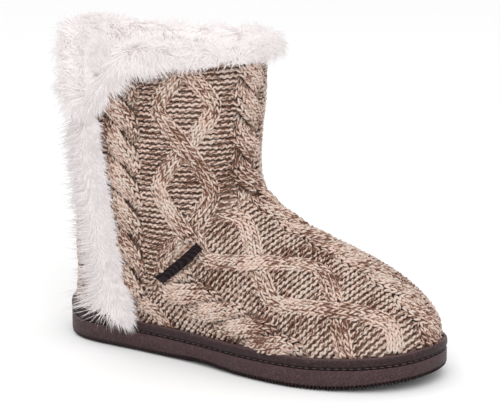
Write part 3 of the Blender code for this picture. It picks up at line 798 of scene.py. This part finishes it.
RIM_MARGIN = -0.0006  # from the sole's rim up to the lowest stitches
TOE_RIM_MARGIN = 0.0015  # added to it round the toe
TOE_RIM_START = -0.160
TOE_RIM_LENGTH = 0.020
YARN_LIGHT = (0.602, 0.462, 0.396)
YARN_GREY = (0.568, 0.470, 0.408)
PLY_SHARE = 0.36  # how far each of four things turns the yarn from dark to light
FUZZ_SHARE = 0.4
PATCH_SHARE = 0.50
STITCH_SHARE = 0.36
PLY_TURNS = 110.0  # in a metre of yarn
SMALL_STEP = 0.0005  # along the knit, for reading slopes
MARL_PATCHES = 75.0  # scales of its textures
MARL_WANDER = 330.0
YARN_FUZZ = 1900.0
PATCH_SIZE = 0.030  # of the lighter and darker patches of the knit

sheen = {"Sheen_Weight": 0.1, "Sheen_Roughness": 0.4}
yarn, tree, shader, where = new_material("marled_yarn", YARN_MIDDLE, 0.85, **sheen)
coords = add_node(tree, "ShaderNodeUVMap", uv_map="yarn").outputs[0]
parts = add_node(tree, "ShaderNodeSeparateXYZ", {0: coords}).outputs
stitch = add_node(tree, "ShaderNodeAttribute", attribute_name="stitch").outputs["Fac"]
blotch = add_node(tree, "ShaderNodeAttribute", attribute_name="blotch").outputs["Fac"]
twist = math_node(tree, "MULTIPLY_ADD", parts[0], PLY_TURNS, math_node(tree, "MULTIPLY", parts[1], 2.0))
offset = math_node(tree, "MULTIPLY_ADD", stitch, 7.0, twist)
turned = math_node(tree, "SINE", math_node(tree, "MULTIPLY", offset, 2.0 * math.pi))
upward = math_node(tree, "SINE", math_node(tree, "MULTIPLY", parts[1], 2.0 * math.pi))
wander = noise(tree, where, MARL_WANDER, 3.0)
fine = noise(tree, where, YARN_FUZZ, 2.0)
ply = math_node(tree, "MULTIPLY_ADD", fine, FUZZ_SHARE, wander)
ply = math_node(tree, "MULTIPLY_ADD", turned, PLY_SHARE, ply)
for whole, share in ((blotch, PATCH_SHARE), (stitch, STITCH_SHARE)):
    ply = math_node(tree, "ADD", ply, math_node(tree, "MULTIPLY_ADD", whole, share, -share / 2.0))
light = mixed(tree, ranged(tree, ply, 0.25, 0.60), YARN_DARK, YARN_MIDDLE)
patches = noise(tree, where, MARL_PATCHES, 2.0)
pale = mixed(tree, ranged(tree, patches, 0.4, 0.6), YARN_LIGHT, YARN_GREY)
light = mixed(tree, ranged(tree, ply, 0.55, 0.90), light, pale)
# Painted shade: each leg of yarn darkens towards its sides and underside, where the crevices between legs
# lie.
light = mixed(tree, ranged(tree, upward, -0.2, 0.6, 0.25, 1.0), YARN_DARK, light)
tree.links.new(light, shader.inputs["Base Color"])
add_bump(tree, shader, math_node(tree, "MULTIPLY_ADD", turned, 0.35, fine), 0.0004, 0.7)


def rope(centre, side, start, rise):
    """One strand of a rope cable: where its middle runs and how high it rides, over and under in turn."""

    def path(v):
        swing = math.pi * (v - start) / ROPE_CROSSING + (0.0 if side < 0 else math.pi)
        return centre - ROPE_SWING * np.cos(swing), ROPE_LEVEL + rise * np.sin(swing)

    return {"path": path, "wales": ROPE_WALES, "bow": ROPE_BOW}


def lattice(centre, side, crossings):
    """One strand of a lattice: it runs from side to side and meets the other strand at each crossing."""
    places = np.asarray(crossings, float)

    def path(v):
        count = np.interp(v, places, np.arange(len(places)))
        before = (v - places[0]) / (places[1] - places[0])
        after = len(places) - 1 + (v - places[-1]) / (places[-1] - places[-2])
        count = np.where(v < places[0], before, np.where(v > places[-1], after, count))
        wave = np.arcsin(LATTICE_SHARPNESS * np.sin(math.pi * count)) / math.asin(LATTICE_SHARPNESS)
        near = np.exp(-((np.sin(math.pi * count) / LATTICE_OVERLAP) ** 2))
        over = side * np.sign(np.cos(math.pi * count))
        return centre + side * LATTICE_SWING * wave, LATTICE_LEVEL + LATTICE_RISE * near * over

    return {"path": path, "wales": LATTICE_WALES, "bow": LATTICE_BOW}


def strand_frame(strand, v):
    """A strand's middle, rise and slope at distances down the knit."""
    centre, rise = strand["path"](v)
    ahead, _ = strand["path"](v + SMALL_STEP)
    slope = (ahead - centre) / SMALL_STEP
    steep = 1.0 / np.sqrt(1.0 + slope**2)
    return centre, rise, slope * steep, steep


RIM_ORDER = np.argsort(outline[:, 1])


def above_rim(points):
    """True for points clear of the sole's rim, by more round the toe, where the knit leans out over it."""
    rim = np.interp(points[:, 1], outline[RIM_ORDER, 1], rim_line[RIM_ORDER])
    at_toe = np.clip((TOE_RIM_START - points[:, 1]) / TOE_RIM_LENGTH, 0.0, 1.0)
    return points[:, 2] > rim + RIM_MARGIN + TOE_RIM_MARGIN * at_toe


def seam_distance(points):
    """Distance from the plane of the seam between shaft and vamp, positive on the shaft's side."""
    top, foot = np.array(SEAM_TOP), np.array(SEAM_FOOT)
    down = (foot - top) / np.linalg.norm(foot - top)
    return (points[:, 1:] - top) @ np.array((-down[1], down[0]))


def tucked(points, out):
    """Sinks the knit's edges into the seam, and the knit under the label."""
    near = np.exp(-((seam_distance(points) / SEAM_WIDTH) ** 2) * 2.0)
    sunk = SEAM_TUCK * near
    label_surface = surface_of("label")
    for number, point in enumerate(points):
        away = max(0.0, label_surface.find_nearest(Vector(point))[3] - LABEL_MARGIN)
        sunk[number] = max(sunk[number], LABEL_TUCK * math.exp(-((away / 0.0015) ** 2)))
    return points - out * sunk[:, None]


def lay_strand(panel, strand, other, start, end):
    """The legs of a strand's stitches: places, directions, outward ways and sizes."""
    fine = np.arange(start, end, SMALL_STEP)
    centre, rise, _, _ = strand_frame(strand, fine)
    run = lifted(panel, centre, fine, rise)
    steps = np.linalg.norm(np.diff(run, axis=0), axis=1)
    travelled = np.concatenate([[0.0], np.cumsum(np.where(np.isnan(steps), SMALL_STEP, steps))])
    v = np.interp(np.arange(0.0, travelled[-1], COURSE), travelled, fine)
    legs = []
    half = strand["wales"] * WALE / 2.0
    for wale in range(strand["wales"]):
        for side in (-1.0, 1.0):
            offset = (wale - (strand["wales"] - 1) / 2.0) * WALE * 0.94 + side * WALE * 0.23
            centre, rise, lean, steep = strand_frame(strand, v)
            u, w = centre + steep * offset, v - lean * offset
            height = rise - strand["bow"] * (offset / half) ** 2
            spot = lifted(panel, u, w, height)
            step = 0.001
            _, next_rise, _, _ = strand_frame(strand, v + step * steep)
            ahead = lifted(panel, u + lean * step, w + steep * step, height + next_rise - rise)
            out = on_panel(panel, "out", u, w)
            with np.errstate(invalid="ignore"):
                along = unit(ahead - spot)
                across = unit(np.cross(along, out)) * -1.0
                out = unit(out + across * (offset / half * 0.5))
            along = along * math.cos(LEG_SPLAY) - across * side * math.sin(LEG_SPLAY)
            other_centre, other_rise, _, other_steep = strand_frame(other, w)
            apart = np.abs(u - other_centre) * other_steep
            over = other_rise - other["bow"] * (apart / half) ** 2
            covered = (apart < half - WALE * 0.3) & (height < over - 0.0007)
            left, right = panel["ends"]
            keep = ~covered & (u > left) & (u < right) & (w > 0.0) & (w < panel["length"])
            legs.append((spot[keep], along[keep], out[keep]))
    return [np.concatenate(part) for part in zip(*legs)]


def lay_ground(panel, strands, start, end):
    """The purl arcs between the strands. Every second row of them faces down and sits half a wale on."""
    rows = np.arange(start, end, COURSE / 2.0)
    left, right = panel["ends"]
    spots, alongs, outs = [], [], []
    for number, v in enumerate(rows):
        u = np.arange(left, right, WALE) + (number % 2) * WALE / 2.0
        bare = np.ones(len(u), bool)
        for strand in strands:
            centre, _, _, steep = strand_frame(strand, np.full(len(u), v))
            bare &= np.abs(u - centre) * steep > strand["wales"] * WALE / 2.0 - WALE * 0.25
        u = u[bare]
        level = np.full(len(u), v)
        spot = lifted(panel, u, level, np.full(len(u), PURL_LEVEL))
        along = lifted(panel, u + SMALL_STEP, level, np.full(len(u), PURL_LEVEL)) - spot
        spots.append(spot)
        with np.errstate(invalid="ignore"):
            alongs.append(unit(along) * (1.0 - 2.0 * (number % 2)))
        outs.append(on_panel(panel, "out", u, level))
    return [np.concatenate(part) for part in (spots, alongs, outs)]


def knit_piece(name, panel, pairs, start, keep):
    """A whole panel of knit: the legs of its cables and the bumps of its ground, joined into two pieces."""
    random = np.random.default_rng(sum(map(ord, name)))
    end = panel["length"]
    legs = [lay_strand(panel, strand, other, start, end) for strand, other in pairs]
    for label, shape, laid in (
        ("cables", leg_shape, [np.concatenate(part) for part in zip(*legs)]),
        ("ground", bump_shape, lay_ground(panel, [strand for strand, _ in pairs], start, end)),
    ):
        spot, along, out = laid
        good = ~np.isnan(spot + along + out).any(axis=1)
        good[good] &= keep(spot[good])
        spot, along, out = spot[good], along[good], out[good]
        spot = tucked(spot, out) + random.normal(0.0, LOOSENESS, spot.shape)
        along = unit(along + random.normal(0.0, 0.05, spot.shape))
        size = random.normal(1.0, 0.05, spot.shape)
        blotch = np.clip(0.5 + humps(spot, PATCH_SIZE, 0.55, 11), 0.0, 1.0)
        stitch = random.random(len(spot))
        attributes = {"stitch": stitch, "blotch": blotch}
        piece = scatter(f"{name}_{label}", shape, spot, along, out, size, yarn, **attributes)
        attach(piece, "root")
        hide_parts("upper")


leg_ways = [(t, 0.0011 * (1.0 - (2.0 * t - 1.0) ** 2) - 0.0006) for t in (0.0, 0.2, 0.5, 0.8, 1.0)]
leg_shape = tube_shape(
    "leg_shape",
    [(LEG_LENGTH * (t - 0.5), 0.0, height) for t, height in leg_ways],
    [LEG_RADIUS * share for share in (0.0, 0.9, 1.1, 0.8, 0.0)],
    5,
)
bump_ways = [(t, 1.0 - t * t, 1.0 - 2.2 * t * t) for t in (-1.0, -0.6, 0.0, 0.6, 1.0)]
bump_shape = tube_shape(
    "bump_shape",
    [(WALE * 0.66 * t, 0.0013 * rise, 0.0010 * height) for t, rise, height in bump_ways],
    [BUMP_RADIUS * share for share in (0.0, 0.95, 1.1, 0.95, 0.0)],
    4,
)


def cables(centre, first, last, crossings, rope_start, middle_rise):
    """Pairs of strands of all the cables across a panel. The rope in the middle may lie flatter."""
    pairs = []
    for number in range(first, last + 1):
        middle = centre + number * REPEAT
        rise = ROPE_RISE if number else middle_rise
        one, two = rope(middle, -1.0, rope_start, rise), rope(middle, 1.0, rope_start, rise)
        pairs += [(one, two), (two, one)]
        one, two = (lattice(middle + REPEAT / 2.0, side, crossings) for side in (-1.0, 1.0))
        pairs += [(one, two), (two, one)]
    return pairs


def on_shaft(points):
    return above_rim(points) & under_collar(points) & (seam_distance(points) > 0.0)


shaft_cables = cables(ROPE_CENTRE, -2, 3, SHAFT_LATTICE, SHAFT_ROPE_START, ROPE_RISE)
vamp_cables = cables(ROPE_CENTRE + VAMP_ROPE_SHIFT, -2, 1, VAMP_LATTICE, VAMP_ROPE_START, RIDGE_ROPE_RISE)
knit_piece("shaft_knit", shaft_panel(), shaft_cables, 0.002, on_shaft)
knit_piece("vamp_knit", vamp_panel(), vamp_cables, 0.0005, above_rim)
drop(leg_shape, bump_shape)

# Fur cuff: a collar of long white fur, folded over the top of the shaft and sewn down outside and in. Its
# pile parts along the crest, falls over the knit outside and lines the mouth.

FUR_COLOUR = (0.82, 0.765, 0.765)
FUR_SHADE = (0.50, 0.42, 0.43)
# The blades' painted shade at their roots; also the base's colour and a random streak tone.
FUR_ROOT = (0.76, 0.68, 0.675)
# How light the pile is outside and inside, and its painted glow. The glow is painted light, standing in for
# the light that fine pile scatters on and that the few thick blades here would swallow; inside it is stronger
# and lifts the shade in the mouth.
FUR_LIGHT, FUR_GLOW = 0.72, 0.32
INNER_LIGHT, INNER_GLOW = 0.58, 0.50
GLOW_COLOUR = (1.0, 0.955, 0.955, 1.0)
FUR_STREAKS = 240.0  # scale
BLADE = 0.014
BLADE_BOW = 0.0012
BLADE_RADIUS = 0.00021
LOCK = 36.0  # blades drawn together into one lock
CUFF_BLADES = (15500, 10000)
CUFF_SPREAD = 0.15  # how far blades turn at random, which makes the pile stand up
CUFF_LOCKS = (0.05, 0.45)  # how far blades are drawn to their lock's tip
# Its body's section, from the outside foot over the crest to the foot inside: out from the wall, and up from
# the collar's edge.
CUFF_SECTION = (
    (0.0004, -0.0030),
    (0.0028, -0.0022),
    (0.0046, 0.0000),
    (0.0050, 0.0024),
    (0.0036, 0.0048),
    (0.0008, 0.0066),
    (-0.0028, 0.0068),
    (-0.0062, 0.0052),
    (-0.0084, 0.0016),
    (-0.0090, -0.0035),
    (-0.0084, -0.0100),
    (-0.0070, -0.0155),
    (-0.0050, -0.0190),
)
CREST_ROW = 6.0  # of the section, where the pile parts
INNER_FOOT_ROW = 9.0
# Round from the front, medial way: how high the crest stands there. It is pressed flat on the medial side.
CREST_TURNS = (0, 30, 60, 90, 125, 150, 180, 210, 240, 270, 300, 330, 360)
CREST_SHARE = (0.95, 0.95, 0.7, 0.4, 0.35, 0.85, 1.2, 1.1, 1.0, 1.0, 0.95, 0.9, 0.95)
# Round the same way: how far the pile hangs down over the knit there, and how shaded it is.
HANG_TURNS = (0, 60, 200, 222, 240, 262, 285, 297, 312, 330, 360)
HANG_SHARE = (-0.15, 0.0, 0.0, 0.4, 0.55, 0.65, 1.0, 0.55, 0.1, -0.15, -0.15)
SHADE_TURNS = (0, 170, 195, 235, 255, 360)
SHADE_SHARE = (0.03, 0.03, 0.12, 0.25, 0.06, 0.04)
# The base's back, which closes it against the wall.
CUFF_LINING = ((-0.0045, -0.0120), (-0.0045, -0.0010), (-0.0040, 0.0004), (-0.0001, 0.0004))


def fur_material(name, light, glow):
    """White pile, a little darker at its roots with painted shade, and with a painted glow for the light that
    fine pile scatters in soft light.
    """
    colour, root, dim = (tuple(light * channel for channel in c) for c in (FUR_COLOUR, FUR_ROOT, FUR_SHADE))
    sockets = {"Sheen_Weight": 0.3, "Sheen_Roughness": 0.35}
    sockets |= {"Emission_Color": GLOW_COLOUR, "Emission_Strength": glow}
    made, tree, shader, where = new_material(name, colour, 0.7, **sockets)
    length = add_node(tree, "ShaderNodeUVMap", uv_map="yarn").outputs[0]
    along = add_node(tree, "ShaderNodeSeparateXYZ", {0: length}).outputs[0]
    streaks = noise(tree, where, FUR_STREAKS, 2.0)
    pile = mixed(tree, ranged(tree, streaks, 0.3, 0.7, 0.0, 0.35), colour, root)
    # Painted shade: each blade darker towards its root, where the pile shades itself.
    pile = mixed(tree, ranged(tree, along, 0.0, BLADE * 0.6), root, pile)
    shade = add_node(tree, "ShaderNodeAttribute", attribute_name="shade").outputs["Fac"]
    pile = mixed(tree, shade, pile, dim)
    tree.links.new(pile, shader.inputs["Base Color"])
    return made


fur = fur_material("white_fur", FUR_LIGHT, FUR_GLOW)
# A copy of the fur with less colour and more painted glow, which lights up the shade inside the mouth.
inner_fur_stronger_glow = fur_material("inner_fur_stronger_glow", INNER_LIGHT, INNER_GLOW)
fur_base, tree, shader, where = new_material("fur_base", FUR_ROOT, 0.9)
add_bump(tree, shader, noise(tree, where, 900.0), 0.002, 0.8)


def grow(name, roots, out, tips, random, material, shade):
    """Blades of fur from roots to tips, bent away from the ways given, each with its share of shade."""
    along = tips - roots
    length = np.linalg.norm(along, axis=1)
    size = np.column_stack([length / BLADE, *(random.uniform(0.75, 1.3, (2, len(roots))))])
    shade = np.clip(shade * random.uniform(0.3, 1.7, len(roots)), 0.0, 1.0)
    return scatter(name, blade_shape, roots, unit(along), unit(out), size, material, shade=shade)


def clumped(tips, share, random):
    """Draws tips of fur together into locks."""
    heads = tips[random.choice(len(tips), int(len(tips) / LOCK), replace=False)]
    nearest = np.array([np.argmin(((heads - tip) ** 2).sum(axis=1)) for tip in tips])
    return tips + (heads[nearest] - tips) * share[:, None]


def on_rows(grid, i, j, k, s, t):
    """Points on a grid, at shares of the way from rows i to the next and from columns j to columns k."""
    below, above = (grid[row, j] * (1 - t) + grid[row, k] * t for row in (i, i + 1))
    return below * (1 - s) + above * s


ways = np.column_stack([np.sin(collar_turns), -np.cos(collar_turns), np.zeros(COLLAR_TURNS)])
crest = np.interp(collar_turns, np.radians(CREST_TURNS), CREST_SHARE)
section = np.array(CUFF_SECTION + CUFF_LINING)
ring = ways[None] * (collar_radius[None] + section[:, :1])[:, :, None]
rise = section[:, 1:] * np.where(section[:, 1:] > 0.0, crest[None], 1.0)
ring[:, :, 2] = collar_height[None] + rise
faces = quads(len(section), COLLAR_TURNS, close_rows=True)
body = new_piece("fur_cuff_base", ring.reshape(-1, 3), faces, fur_base)
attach(body, "root")
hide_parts("fur_cuff")

blade_shape = tube_shape(
    "blade_shape",
    [(BLADE * t, 0.0, BLADE_BOW * (1.0 - (2.0 * t - 1.0) ** 2)) for t in (0.0, 0.2, 0.65, 1.0)],
    [BLADE_RADIUS * share for share in (0.0, 1.1, 0.95, 0.0)],
    3,
)
random = np.random.default_rng(21)


def swirl(points, size, amount, seed):
    """A slow wander of direction over points, so that neighbouring blades lean the same way."""
    return np.column_stack([humps(points, size, amount, seed + axis) for axis in range(3)])


for name, first, last, count, pile in (
    ("cuff_fur_outside", 0.5, CREST_ROW, CUFF_BLADES[0], fur),
    ("cuff_fur_inside", CREST_ROW, len(CUFF_SECTION) - 1.0, CUFF_BLADES[1], inner_fur_stronger_glow),
):
    row = random.uniform(first, last - 0.001, count)
    column = random.uniform(0.0, COLLAR_TURNS, count)
    i, j = row.astype(int), column.astype(int) % COLLAR_TURNS
    s, t = (row - i)[:, None], (column - column.astype(int))[:, None]
    k = (j + 1) % COLLAR_TURNS
    roots = on_rows(ring, i, j, k, s, t)
    out = unit(np.cross(ring[i, k] - ring[i, j], ring[i + 1, j] - ring[i, j]))
    fall = np.interp(row, (0.0, 3.0, 6.0, 9.0, 12.0), (-0.1, 0.1, 0.0, 0.6, 1.0))
    turn = np.degrees(np.arctan2(roots[:, 0], -roots[:, 1])) % 360.0
    hang = np.interp(turn, HANG_TURNS, HANG_SHARE) * np.interp(row, (0.0, 5.0, 6.5), (1.0, 0.5, 0.0))
    fall += hang * 0.9
    down = np.column_stack([np.zeros((count, 2)), -fall])
    way = out + swirl(roots, 0.022, 0.4, 31) + random.normal(0.0, 0.07, out.shape) + down
    length = BLADE * random.uniform(0.65, 1.05, count)
    length *= np.interp(row, (0.0, 1.5, 3.0, 6.0, 9.0, 12.0), (0.4, 0.65, 0.95, 1.0, 0.9, 0.8))
    length *= 1.0 + 0.9 * np.maximum(hang, 0.0)
    tips = roots + unit(way) * length[:, None]
    tips = clumped(tips, random.uniform(*CUFF_LOCKS, count), random)
    edge = collar_height[j]
    tips[:, 2] = np.where(tips[:, 2] > edge, edge + (tips[:, 2] - edge) * crest[j], tips[:, 2])
    shade = np.interp(turn, SHADE_TURNS, SHADE_SHARE) * (row < CREST_ROW)
    out[:, 2] *= row < INNER_FOOT_ROW  # the pile at the inner foot lies down the wall and not into it
    out += random.normal(0.0, CUFF_SPREAD, out.shape)
    piece = grow(name, roots, out, tips, random, pile, shade)
    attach(piece, "root")
    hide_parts("fur_cuff")

# Fur strip: a band of the same fur sewn up the outside of the shaft behind the label, from the sole to the
# cuff. Its pile parts along the middle, sweeps out and down to both sides and fans out over the sole's rim.

STRIP_ROWS = 60
STRIP_COLUMNS = 9
STRIP_RISE = 0.0042
STRIP_HALF_WIDTH = (0.0135, 0.0105, 0.0085)
STRIP_HALF_HEIGHTS = (0.02, 0.05, 0.14)  # where it has them
LEG_REACH = 0.055  # from the leg's middle out to the strip
STRIP_BLADES = 12000
STRIP_REAR = 2.2  # how much longer the blades on its rear side are
STRIP_SPREAD = 0.2
STRIP_LOCKS = (0.05, 0.45)
STRIP_FOOT = (0.025, 0.060)  # heights between which the pile fans out
STRIP_FOOT_FAN = 1.7
STRIP_FOOT_LENGTH = 1.6
STRIP_FRINGE = (0.011, 0.019)  # heights that its lowest tips reach


def strip_lines():
    """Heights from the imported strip's foot up to its top, and its middle there as turns round the leg."""
    turn = np.arctan2(strip_points[:, 0], -strip_points[:, 1]) % (2.0 * math.pi)
    low, high = strip_points[:, 2].min(), collar_height.min() - 0.005
    heights = np.linspace(low + 0.004, high, STRIP_ROWS)
    near = [np.abs(strip_points[:, 2] - min(z, strip_points[:, 2].max() - 0.004)) < 0.006 for z in heights]
    middle = np.array([(turn[n].min() + turn[n].max()) / 2.0 for n in near])
    return heights, smooth(middle, 6.0)


heights, middle = strip_lines()
half = np.interp(heights, STRIP_HALF_HEIGHTS, STRIP_HALF_WIDTH)
sideways = np.linspace(-1.0, 1.0, STRIP_COLUMNS)
front, back = [], []
for number, (z, turn, wide) in enumerate(zip(heights, middle, half)):
    end = min(1.0, (number + 1) / 5.0, (STRIP_ROWS - number) / 5.0)
    rows = ([], [])
    for s in sideways:
        at = turn + s * wide / LEG_REACH
        way = np.array((math.sin(at), -math.cos(at), 0.0))
        out = reach(upper_surface, (0.0, 0.0, z), way)
        crown = 0.0006 + STRIP_RISE * end * math.sqrt(1.02 - s * s)
        for line, lift in zip(rows, (crown, 0.0002)):
            line.append(way * (out + lift) + np.array((0.0, 0.0, z)))
    front.append(rows[0])
    back.append(rows[1][::-1])
front, back = np.array(front), np.array(back)
rows = np.concatenate([front, back], axis=1)
width = 2 * STRIP_COLUMNS
faces = list(quads(STRIP_ROWS, width)) + strip_fill(0, width, False)
faces += strip_fill((STRIP_ROWS - 1) * width, width, True)
body = new_piece("fur_strip_base", rows.reshape(-1, 3), faces, fur_base)
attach(body, "root")
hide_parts("fur_strip")
count = STRIP_BLADES
row = random.uniform(0.0, STRIP_ROWS - 1.001, count)
column = random.uniform(0.0, STRIP_COLUMNS - 1.001, count)
i, j = row.astype(int), column.astype(int)
s, t = (row - i)[:, None], (column - j)[:, None]
roots = on_rows(front, i, j, j + 1, s, t)
away = unit(roots * (1.0, 1.0, 0.0))
aside = np.cross((0.0, 0.0, 1.0), away)
lean = column / (STRIP_COLUMNS - 1.0) * 2.0 - 1.0  # from -1 on the rear side to 1 on the front side
height = roots[:, 2]
comb = np.interp(lean, (-1.0, -0.1, 0.2, 1.0), (-1.7, -1.1, 0.4, 1.0))
comb *= np.interp(height, STRIP_FOOT, (STRIP_FOOT_FAN, 1.0))
fall = np.interp(height, (0.025, 0.045), (0.95, 0.0)) + np.interp(lean, (-0.5, 0.3), (0.35, 0.65))
way = away * 0.55 + aside * comb[:, None] - fall[:, None] * (0.0, 0.0, 1.0)
way += random.normal(0.0, 0.07, roots.shape)
way += swirl(roots, 0.018, 0.3, 41)
length = BLADE * random.uniform(0.6, 1.0, count)
length *= np.interp(lean, (-1.0, -0.2, 0.2, 1.0), (STRIP_REAR, 1.9, 1.1, 0.8))
length *= np.interp(height, STRIP_FOOT, (STRIP_FOOT_LENGTH, 1.0))
tips = roots + unit(way) * length[:, None]
tips = clumped(tips, random.uniform(*STRIP_LOCKS, count), random)
tips[:, 2] = np.maximum(tips[:, 2], random.uniform(*STRIP_FRINGE, count))
shade = np.interp(lean, (-1.0, -0.3, 0.1, 1.0), (0.85, 0.5, 0.25, 0.15))
shade += swirl(roots, 0.012, 0.15, 51)[:, 0]
out = away + random.normal(0.0, STRIP_SPREAD, away.shape)
piece = grow("strip_fur", roots, out, tips, random, fur, shade)
drop(blade_shape)
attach(piece, "root")
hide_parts("fur_strip")

# Label: a small dark tab of fine woven ribbon, left bare. It is caught in the seam between shaft and vamp,
# where it presses the knit in, and one long edge of it stands off a little.

LABEL_COLOUR = (0.0060, 0.0035, 0.0042)
LABEL_THREAD = (0.0190, 0.0125, 0.0140)
LABEL_RIBS = 480.0  # scale
LABEL_CORNERS = (((-0.0200, 0.0533), (-0.0475, 0.0776)), ((-0.0273, 0.0504), (-0.0530, 0.0748)))  # y and z
LABEL_LIFT = 0.0024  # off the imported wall, over the knit
LABEL_THICKNESS = 0.0007
LABEL_SAG = 0.0012
LABEL_RIPPLE = 0.0004
LABEL_STEPS = (7, 25)

weave, tree, shader, where = new_material("woven_label", LABEL_COLOUR, 0.85, Specular_IOR_Level=0.1)
sockets = {"Vector": where, "Scale": LABEL_RIBS, "Distortion": 1.5, "Detail": 1.0}
ribs = add_node(tree, "ShaderNodeTexWave", sockets).outputs["Fac"]
tree.links.new(mixed(tree, ribs, LABEL_COLOUR, LABEL_THREAD), shader.inputs["Base Color"])
add_bump(tree, shader, ribs, 0.0003, 0.8)


def label_face(lift):
    """The label's face as a grid over the side of the shoe, bowed a little between its ends."""
    rows = []
    corners = np.array(LABEL_CORNERS)
    for across in np.linspace(0.0, 1.0, LABEL_STEPS[0]):
        row = []
        for along in np.linspace(0.0, 1.0, LABEL_STEPS[1]):
            one, two = corners[0] + (corners[1] - corners[0]) * across
            y, z = one + (two - one) * along
            z -= LABEL_SAG * math.sin(along * math.pi)
            x = -reach(upper_surface, (0.0, y, z), (-1.0, 0.0, 0.0))
            ripple = LABEL_RIPPLE * math.sin(along * 3.0 * math.pi) * across
            row.append((x - lift - ripple + 0.0012 * (1.0 - across) ** 3, y, z))
        rows.append(row)
    return np.array(rows)


top, below = label_face(LABEL_LIFT + LABEL_THICKNESS), label_face(LABEL_LIFT)
rows, columns = LABEL_STEPS
grid = np.arange(rows * columns).reshape(rows, columns)
rim = np.concatenate([grid[0, :-1], grid[:-1, -1], grid[-1, :0:-1], grid[:0:-1, 0]])
faces = [f[::-1] for f in quads(rows, columns, close_columns=False)]
faces += [f + rows * columns for f in quads(rows, columns, close_columns=False)]
for one, two in zip(rim, np.roll(rim, -1)):
    faces.append((one, two, two + rows * columns, one + rows * columns))
label = new_piece("woven_label", np.concatenate([top.reshape(-1, 3), below.reshape(-1, 3)]), faces, weave)
work = bmesh.new()
work.from_mesh(label.data)
bmesh.ops.recalc_face_normals(work, faces=work.faces)
work.to_mesh(label.data)
work.free()
label.data.set_sharp_from_angle(angle=math.radians(50.0))
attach(label, "root")
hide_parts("label")

# Floor, light and camera: a plain pale floor in an even white studio, with one large soft lamp above the
# camera. The camera stands where the photo was taken from, and is turned to centre the one shoe.

FLOOR_HALF = 3.0
FLOOR_WHITE = (0.83, 0.83, 0.83)
STUDIO_LIGHT = 1.11
KEY_PLACE = (-1.1, -0.75, 1.2)
KEY_POWER = 15.5
KEY_SIZE = 1.2
CAMERA_LENS = 171.8
CAMERA_PLACE = (-1.21779, -0.85311, 0.44060)
CAMERA_AIM = (0.00626, -0.05801, 0.09488)

corners = [(x * FLOOR_HALF, y * FLOOR_HALF, 0.0) for x, y in ((-1, -1), (1, -1), (1, 1), (-1, 1))]
white, _, _, _ = new_material("floor_white", FLOOR_WHITE, 0.9)
floor = new_piece("floor", corners, [(0, 1, 2, 3)], white)

world = bpy.data.worlds.new("studio")
world.use_nodes = True
background = world.node_tree.nodes["Background"].inputs
background["Color"].default_value = (1.0, 1.0, 1.0, 1.0)
background["Strength"].default_value = STUDIO_LIGHT
bpy.context.scene.world = world
bpy.context.scene.view_settings.view_transform = "Standard"


def place(name, data, spot, aim):
    """A lamp or camera at a spot, turned to face a point."""
    made = bpy.data.objects.new(name, data)
    bpy.context.scene.collection.objects.link(made)
    made.location = spot
    made.rotation_euler = (Vector(spot) - Vector(aim)).to_track_quat("Z", "Y").to_euler()
    return made


lamp = bpy.data.lights.new("key", "AREA")
lamp.energy, lamp.size = KEY_POWER, KEY_SIZE
place("key", lamp, KEY_PLACE, (0.0, 0.0, 0.0))
camera = place("camera", bpy.data.cameras.new("camera"), CAMERA_PLACE, CAMERA_AIM)
camera.data.lens = CAMERA_LENS
bpy.context.scene.camera = camera
